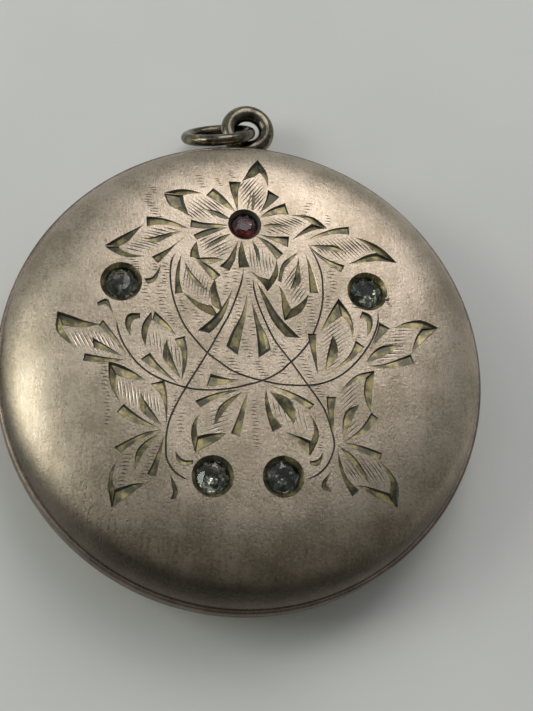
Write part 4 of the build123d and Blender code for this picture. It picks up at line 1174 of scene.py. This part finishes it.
def bail_foot(centre, material):
    """Neck drawn out from the back cover, waisted before it meets the loop."""
    low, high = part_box("bail_foot")
    base, top = low.y / MM, high.y / MM
    middle_z = (low.z + high.z) / 2 / MM
    half_height = (high.z - low.z) / 2 / MM
    half_base = (high.x - low.x) / 2 / MM
    shape = Shape()
    rings = []
    for i in range(NECK_ROWS + 1):
        share = i / NECK_ROWS
        half = half_base + (NECK_TOP_HALF - half_base) * (1 - (1 - share) ** NECK_FLARE)
        tall = half_height * (1 - NECK_WAIST * sin(pi * share))
        ring = []
        for t in full_turn(NECK_SIDES):
            x = half * copysign(abs(cos(t)) ** NECK_CORNERS, cos(t))
            z = tall * copysign(abs(sin(t)) ** NECK_CORNERS, sin(t))
            ring.append(shape.add_vert((centre.x + x, base + (top - base) * share, middle_z + z)))
        rings.append(ring)
    shape.add_face(rings[0])
    shape.add_face(rings[-1][::-1])
    mid = np.array([centre.x, 0, middle_z])
    for a, b in zip(rings, rings[1:]):
        for k in range(NECK_SIDES):
            m = (k + 1) % NECK_SIDES
            face = [a[k], b[k], b[m], a[m]]
            normals = []
            for v in face:
                out = (shape.verts[v] - mid) * np.array(NECK_LEAN)
                normals.append(tuple(out / np.linalg.norm(out)))
            shape.add_face(face, normals)
    shape.piece("bail_neck", "back", "bail", ["bail_foot"], [material])


def ring_matrix():
    """Frame of the jump ring, hanging back over the bail."""
    low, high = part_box("jump_ring")
    centre = (low + high) / 2 / MM
    yaw, lean, droop = radians(RING_YAW), radians(RING_LEAN), radians(RING_DROOP)
    across = Vector((cos(yaw) * cos(droop), sin(yaw) * cos(droop), sin(droop)))
    up = Vector((0, -sin(lean), cos(lean)))
    up = (up - across * up.dot(across)).normalized()
    axis = across.cross(up)
    turn = Matrix((across, axis.cross(across), axis)).transposed().to_4x4()
    return Matrix.Translation(centre) @ turn


def jump_ring(material):
    shape = wire_ring(RING_RADIUS, RING_WIRE, joint=RING_JOINT, swell=0.03).transform(ring_matrix())
    shape.piece("wire_jump_ring", "jump_ring", "ring", ["jump_ring"], [material])


# ---- materials ------------------------------------------------------------------------
class Finish:
    """A procedural material, built node by node on the object's own coordinates in millimetres."""

    def __init__(self, name, **sockets):
        self.material = bpy.data.materials.new(name)
        self.material.use_nodes = True
        self.tree = self.material.node_tree
        self.shader = self.tree.nodes["Principled BSDF"]
        for label, value in sockets.items():
            self.shader.inputs[label.replace("_", " ")].default_value = value
        place = self.tree.nodes.new("ShaderNodeTexCoord")
        scale = self.tree.nodes.new("ShaderNodeVectorMath")
        scale.operation = "SCALE"
        scale.inputs["Scale"].default_value = 1 / MM
        self.link(place.outputs["Object"], scale.inputs[0])
        self.place = scale.outputs[0]

    def link(self, source, target):
        self.tree.links.new(source, target)

    def node(self, kind, inputs, **settings):
        """A node with its settings made and its inputs linked to sockets or set to plain values."""
        made = self.tree.nodes.new(kind)
        for key, value in settings.items():
            setattr(made, key, value)
        for key, value in inputs.items():
            if isinstance(value, bpy.types.NodeSocket):
                self.link(value, made.inputs[key])
            else:
                made.inputs[key].default_value = value
        return made

    def noise(self, scale, detail=3.0, rough=0.55, stretch=None, turn=None):
        """Noise with scale counts per millimetre, stretched and turned if asked."""
        source = self.place
        if stretch is not None:
            mapping = self.node("ShaderNodeMapping", {"Vector": source, "Scale": stretch})
            if turn is not None:
                mapping.inputs["Rotation"].default_value = turn
            source = mapping.outputs[0]
        made = self.node("ShaderNodeTexNoise", {
            "Vector": source, "Scale": scale, "Detail": detail, "Roughness": rough})
        return made.outputs["Fac"]

    def fit(self, value, low, high, to_low, to_high):
        """Maps low..high of a value smoothly onto to_low..to_high."""
        made = self.node("ShaderNodeMapRange", {
            "Value": value, "From Min": low, "From Max": high, "To Min": to_low, "To Max": to_high})
        made.interpolation_type = "SMOOTHSTEP"
        return made.outputs[0]

    def math(self, operation, a, b):
        return self.node("ShaderNodeMath", {0: a, 1: b}, operation=operation).outputs[0]

    def mix(self, share, first, second):
        return self.node("ShaderNodeMix", {0: share, 6: first, 7: second}, data_type="RGBA").outputs[2]

    def weigh(self, first, first_share, second, second_share):
        """first * first_share + second * second_share."""
        parts = [self.math("MULTIPLY", *pair) for pair in ((first, first_share), (second, second_share))]
        return self.math("ADD", *parts)

    def across(self):
        """X, Y and the distance from the Z axis."""
        x, y, _ = self.node("ShaderNodeSeparateXYZ", {0: self.place}).outputs
        return x, y, self.math("SQRT", self.weigh(x, x, y, y), 0.0)

    def colour(self, value):
        self.link(value, self.shader.inputs["Base Color"])

    def rough(self, value):
        self.link(value, self.shader.inputs["Roughness"])

    def bump(self, height, strength, depth_mm):
        depth = depth_mm * MM
        made = self.node("ShaderNodeBump", {"Height": height, "Strength": strength, "Distance": depth})
        last = self.shader.inputs["Normal"].links
        if last:
            self.link(last[0].from_socket, made.inputs["Normal"])
        self.link(made.outputs[0], self.shader.inputs["Normal"])


def satin_metal(name, light, dark, low_rough, high_rough, shade_and_tarnish=0.0, shade_and_grime=0.0):
    """Worn satin plating: clouds, fine grain, brush lines, specks, painted shade with a tarnished tone
    towards the lower rim, and painted shade on the shoulder by the bead ring.
    """
    made = Finish(name, Metallic=1.0)
    clouds = made.noise(0.32, detail=5.0, rough=0.65)
    grain = made.noise(5.5, detail=4.0, rough=0.75)
    lines = made.noise(5.0, detail=3.0, rough=0.6, stretch=(1.0, 0.06, 0.3), turn=(0, 0, radians(8)))
    base = made.mix(made.fit(made.weigh(clouds, 0.55, grain, 0.45), 0.41, 0.59, 0.0, 1.0), dark, light)
    specks = made.fit(made.noise(2.6, detail=2.0, rough=0.4), 0.70, 0.78, 0.0, 0.55)
    base = made.mix(specks, base, SPECK)
    x, y, radius = made.across()
    # painted shade with a tarnished tone, darker towards the lower rim
    ragged = made.math("ADD", y, made.math("MULTIPLY", clouds, SHADE_AND_TARNISH_RAGGED))
    base = made.mix(made.fit(ragged, *SHADE_AND_TARNISH_SPAN, shade_and_tarnish, 0.0), base, SHADE_AND_TARNISH)
    # painted shade on the shoulder by the bead ring, darkest towards the bottom
    towards_bead = made.math("ADD", radius, made.weigh(x, SHOULDER_SHADE_LEAN[0], y, SHOULDER_SHADE_LEAN[1]))
    made.colour(made.mix(made.fit(towards_bead, *SHOULDER_SHADE_SPAN, 0.0, shade_and_grime), base, SHOULDER_SHADE))
    made.rough(made.fit(made.weigh(lines, 0.5, grain, 0.5), 0.3, 0.7, low_rough, high_rough))
    made.bump(lines, 0.5, 0.006)
    made.bump(grain, 1.0, 0.03)
    made.bump(made.noise(1.3, detail=3.0), 0.3, 0.03)
    return made.material


def bright_cut(name, light, dark, metal, low_rough, high_rough):
    """The graver's facets: metal seen through a thin dull tarnished film, with fine chatter along them. Its
    dark copy carries painted shade and its light copy a painted highlight.
    """
    made = Finish(name, Metallic=metal)
    patches = made.noise(1.1, detail=4.0, rough=0.6)
    made.colour(made.mix(made.fit(patches, 0.41, 0.65, 0.0, 1.0), dark, light))
    made.rough(made.fit(made.noise(6.0, detail=2.0), 0.3, 0.7, low_rough, high_rough))
    made.bump(made.noise(11.0, detail=2.0, stretch=(1.0, 0.35, 1.0), turn=(0, 0, radians(35))), 0.5, 0.01)
    return made.material


def tarnished_metal(name, light, dark, gold_share):
    """Darkened wire with the warm metal showing where it rubs."""
    made = Finish(name, Metallic=1.0)
    clouds = made.noise(1.4, detail=5.0, rough=0.65)
    base = made.mix(made.fit(clouds, 0.38, 0.62, 0.0, 1.0), dark, light)
    worn = made.fit(made.noise(0.9, detail=3.0), 0.56, 0.68, 0.0, gold_share)
    made.colour(made.mix(worn, base, WORN_GOLD))
    made.rough(made.fit(made.noise(6.0, detail=4.0), 0.3, 0.7, 0.12, 0.26))
    made.bump(made.noise(8.0, detail=4.0), 0.35, 0.01)
    made.bump(made.noise(1.0, detail=2.0), 0.4, 0.05)
    return made.material


def turned_metal(name, light, dark, low_rough, high_rough):
    """Gilt or plain metal with fine turning marks round the Z axis."""
    made = Finish(name, Metallic=1.0)
    clouds = made.noise(0.6, detail=5.0, rough=0.6)
    made.colour(made.mix(made.fit(clouds, 0.36, 0.62, 0.0, 1.0), dark, light))
    _, _, radius = made.across()
    inputs = {"W": radius, "Scale": 9.0, "Detail": 3.0}
    marks = made.node("ShaderNodeTexNoise", inputs, noise_dimensions="1D").outputs["Fac"]
    made.rough(made.fit(marks, 0.3, 0.7, low_rough, high_rough))
    made.bump(marks, 0.35, 0.01)
    made.bump(made.noise(3.0, detail=4.0), 0.3, 0.02)
    return made.material


def clear_window():
    made = Finish("old_celluloid_window", Metallic=0.0, Transmission_Weight=1.0, IOR=1.49)
    made.shader.inputs["Base Color"].default_value = WINDOW_TINT
    scratches = made.noise(3.0, detail=3.0, stretch=(1.0, 0.05, 1.0), turn=(0, 0, radians(40)))
    made.rough(made.fit(scratches, 0.58, 0.7, 0.02, 0.16))
    return made.material


def blank_card():
    made = Finish("blank_card", Roughness=0.85)
    stains = made.noise(0.25, detail=5.0, rough=0.6)
    fibres = made.noise(6.0, detail=4.0, rough=0.7)
    base = made.mix(made.fit(stains, 0.4, 0.66, 0.0, 1.0), CARD_LIGHT, CARD_DARK)
    made.colour(made.mix(made.fit(fibres, 0.35, 0.65, 0.0, 0.25), base, CARD_FIBRE))
    made.bump(fibres, 0.4, 0.02)
    return made.material


def stone_glass(name, colour, rough):
    """Paste: clear or coloured glass with faint rubbing on its facets."""
    made = Finish(name, Transmission_Weight=1.0, IOR=1.56)
    rubbed = tuple(c * RUBBED_GLASS for c in colour[:3]) + (1,)
    made.colour(made.mix(made.fit(made.noise(1.8, detail=3.0), 0.4, 0.7, 0.0, 0.35), colour, rubbed))
    made.rough(made.fit(made.noise(5.0, detail=3.0), 0.45, 0.7, rough, rough + 0.03))
    return made.material


def stone_foil(name, light, dark):
    """The foiled back of a stone, dulled in patches."""
    made = Finish(name, Metallic=1.0)
    clouds = made.noise(1.6, detail=4.0, rough=0.65)
    made.colour(made.mix(made.fit(clouds, 0.47, 0.6, 0.0, 1.0), dark, light))
    made.rough(made.fit(made.noise(4.0, detail=3.0), 0.35, 0.65, 0.02, 0.08))
    return made.material


def floor_finish():
    made = Finish("pale_tabletop", Roughness=0.75, Specular_IOR_Level=0.25)
    clouds = made.noise(0.05, detail=4.0)
    made.colour(made.mix(made.fit(clouds, 0.35, 0.65, 0.0, 1.0), FLOOR_LIGHT, FLOOR_DARK))
    return made.material


def dress_cad_nodes():
    """Finishes for the CAD pieces that stay as they are, all of them inside the locket."""
    lining = turned_metal("dull_lining_sheet", LINING_LIGHT, LINING_DARK, 0.3, 0.5)
    foil = stone_foil("stone_foil_cups", FOIL_LIGHT, FOIL_DARK)
    for node, material in (("front_lining", lining), ("back_lining", lining), ("stone_foils", foil)):
        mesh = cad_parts[node].data
        if not mesh.materials:
            mesh.materials.append(material)
        for i in range(len(mesh.materials)):
            mesh.materials[i] = material


# ---- the object -----------------------------------------------------------------------
def build_locket():
    # front satin: painted shade with a tarnished tone towards the lower rim, and painted shade on the
    # shoulder
    front_satin = satin_metal("satin_front", SATIN_LIGHT, SATIN_DARK, 0.22, 0.36, shade_and_tarnish=0.25, shade_and_grime=0.75)
    back_satin = satin_metal("satin_back", SATIN_LIGHT, SATIN_DARK, 0.22, 0.36)
    # the bead band: painted shade, darker still towards the lower rim
    band = satin_metal("band_painted_shade", BAND_LIGHT, BAND_DARK, 0.30, 0.45, shade_and_tarnish=0.2)
    cut = bright_cut("bright_cut_facets", CUT_LIGHT, CUT_DARK, 0.6, 0.25, 0.42)
    # Cut walls: painted shade with some dirt; cut edges: polished metal with a painted highlight
    shade_and_grime = bright_cut("shade_and_grime_in_cut_walls", SHADE_AND_GRIME_LIGHT, SHADE_AND_GRIME_DARK, 0.2, 0.45, 0.6)
    polish_and_highlight = bright_cut("cut_edges_polish_and_highlight", POLISH_AND_HIGHLIGHT_LIGHT, POLISH_AND_HIGHLIGHT_DARK, 1.0, 0.28, 0.42)
    front_cover([front_satin, cut, band, shade_and_grime, polish_and_highlight])
    back_cover([back_satin, band])
    rim = turned_metal("worn_rim_metal", RIM_LIGHT, RIM_DARK, 0.25, 0.42)
    gilt = turned_metal("satin_gilt", GILT_LIGHT, GILT_DARK, 0.2, 0.36)
    glass, paper = clear_window(), blank_card()
    for half, place in (("front", half_front()), ("back", half_back())):
        rim_ring(half, place, [rim])
        picture_frame(half, place, [gilt])
        window(half, place, [glass])
        card(half, place, [paper])
    clear_back = stone_foil("clear_stone_back", FOIL_LIGHT, FOIL_DARK)
    red_back = stone_foil("red_stone_back", RED_FOIL_LIGHT, RED_FOIL_DARK)
    stones([stone_glass("clear_paste", CLEAR_GLASS, 0.0), clear_back],
           [stone_glass("red_paste", RED_GLASS, 0.02), red_back])
    setting_grain(front_satin)
    dark_wire = tarnished_metal("tarnished_bail_wire", BAIL_LIGHT, BAIL_DARK, 0.7)
    hinge(tarnished_metal("worn_hinge_metal", SATIN_DARK, BAIL_DARK, 0.5),
          tarnished_metal("hinge_pin_steel", BAIL_LIGHT, BAIL_DARK, 0.1))
    bail_foot(bail_loop(dark_wire), dark_wire)
    jump_ring(tarnished_metal("tarnished_ring_wire", BAIL_LIGHT, BAIL_DARK, 0.6))
    dress_cad_nodes()


# ---- the studio -----------------------------------------------------------------------
def add_camera():
    data = bpy.data.cameras.new("camera")
    data.lens = CAMERA_LENS
    data.sensor_width = CAMERA_SENSOR
    data.clip_start, data.clip_end = 0.005, 5.0
    camera = bpy.data.objects.new("camera", data)
    camera.location = CAMERA_PLACE
    camera.rotation_euler = [radians(turn) for turn in CAMERA_TURN]
    bpy.context.scene.collection.objects.link(camera)
    bpy.context.scene.camera = camera


def area_light(name, azimuth, elevation, distance, size, power, colour):
    """A soft light aimed at the locket. Azimuth 0 is +Y and grows towards +X; lengths in metres."""
    turn, rise = radians(azimuth), radians(elevation)
    data = bpy.data.lights.new(name, "AREA")
    data.shape = "RECTANGLE"
    data.size, data.size_y = size
    data.energy = power
    data.color = colour
    light = bpy.data.objects.new(name, data)
    light.location = AIM + distance * Vector((sin(turn) * cos(rise), cos(turn) * cos(rise), sin(rise)))
    light.rotation_euler = (light.location - AIM).to_track_quat("Z", "Y").to_euler()
    bpy.context.scene.collection.objects.link(light)


def light_room(tree):
    """A plain room, brighter towards +Y than towards the viewer's side."""
    place = tree.nodes.new("ShaderNodeTexCoord")
    apart = tree.nodes.new("ShaderNodeSeparateXYZ")
    share = tree.nodes.new("ShaderNodeMapRange")
    share.interpolation_type = "SMOOTHSTEP"
    share.inputs["From Min"].default_value, share.inputs["From Max"].default_value = ROOM_TURN
    mixed = tree.nodes.new("ShaderNodeMix")
    mixed.data_type = "RGBA"
    mixed.inputs[6].default_value, mixed.inputs[7].default_value = ROOM_NEAR, ROOM_FAR
    tree.links.new(place.outputs["Generated"], apart.inputs[0])
    tree.links.new(apart.outputs["Y"], share.inputs["Value"])
    tree.links.new(share.outputs[0], mixed.inputs[0])
    tree.links.new(mixed.outputs[2], tree.nodes["Background"].inputs[0])


def add_studio():
    floor_mesh = bpy.data.meshes.new("floor")
    corners = [(x * FLOOR_REACH, y * FLOOR_REACH, 0) for x, y in ((-1, -1), (1, -1), (1, 1), (-1, 1))]
    floor_mesh.from_pydata(corners, [], [(0, 1, 2, 3)])
    floor = bpy.data.objects.new("floor", floor_mesh)
    bpy.context.scene.collection.objects.link(floor)
    floor_mesh.materials.append(floor_finish())
    world = bpy.data.worlds.new("room")
    world.use_nodes = True
    light_room(world.node_tree)
    bpy.context.scene.world = world
    for settings in LIGHTS:
        area_light(*settings)
    bpy.context.scene.view_settings.view_transform = "Standard"


build_locket()
add_studio()
add_camera()
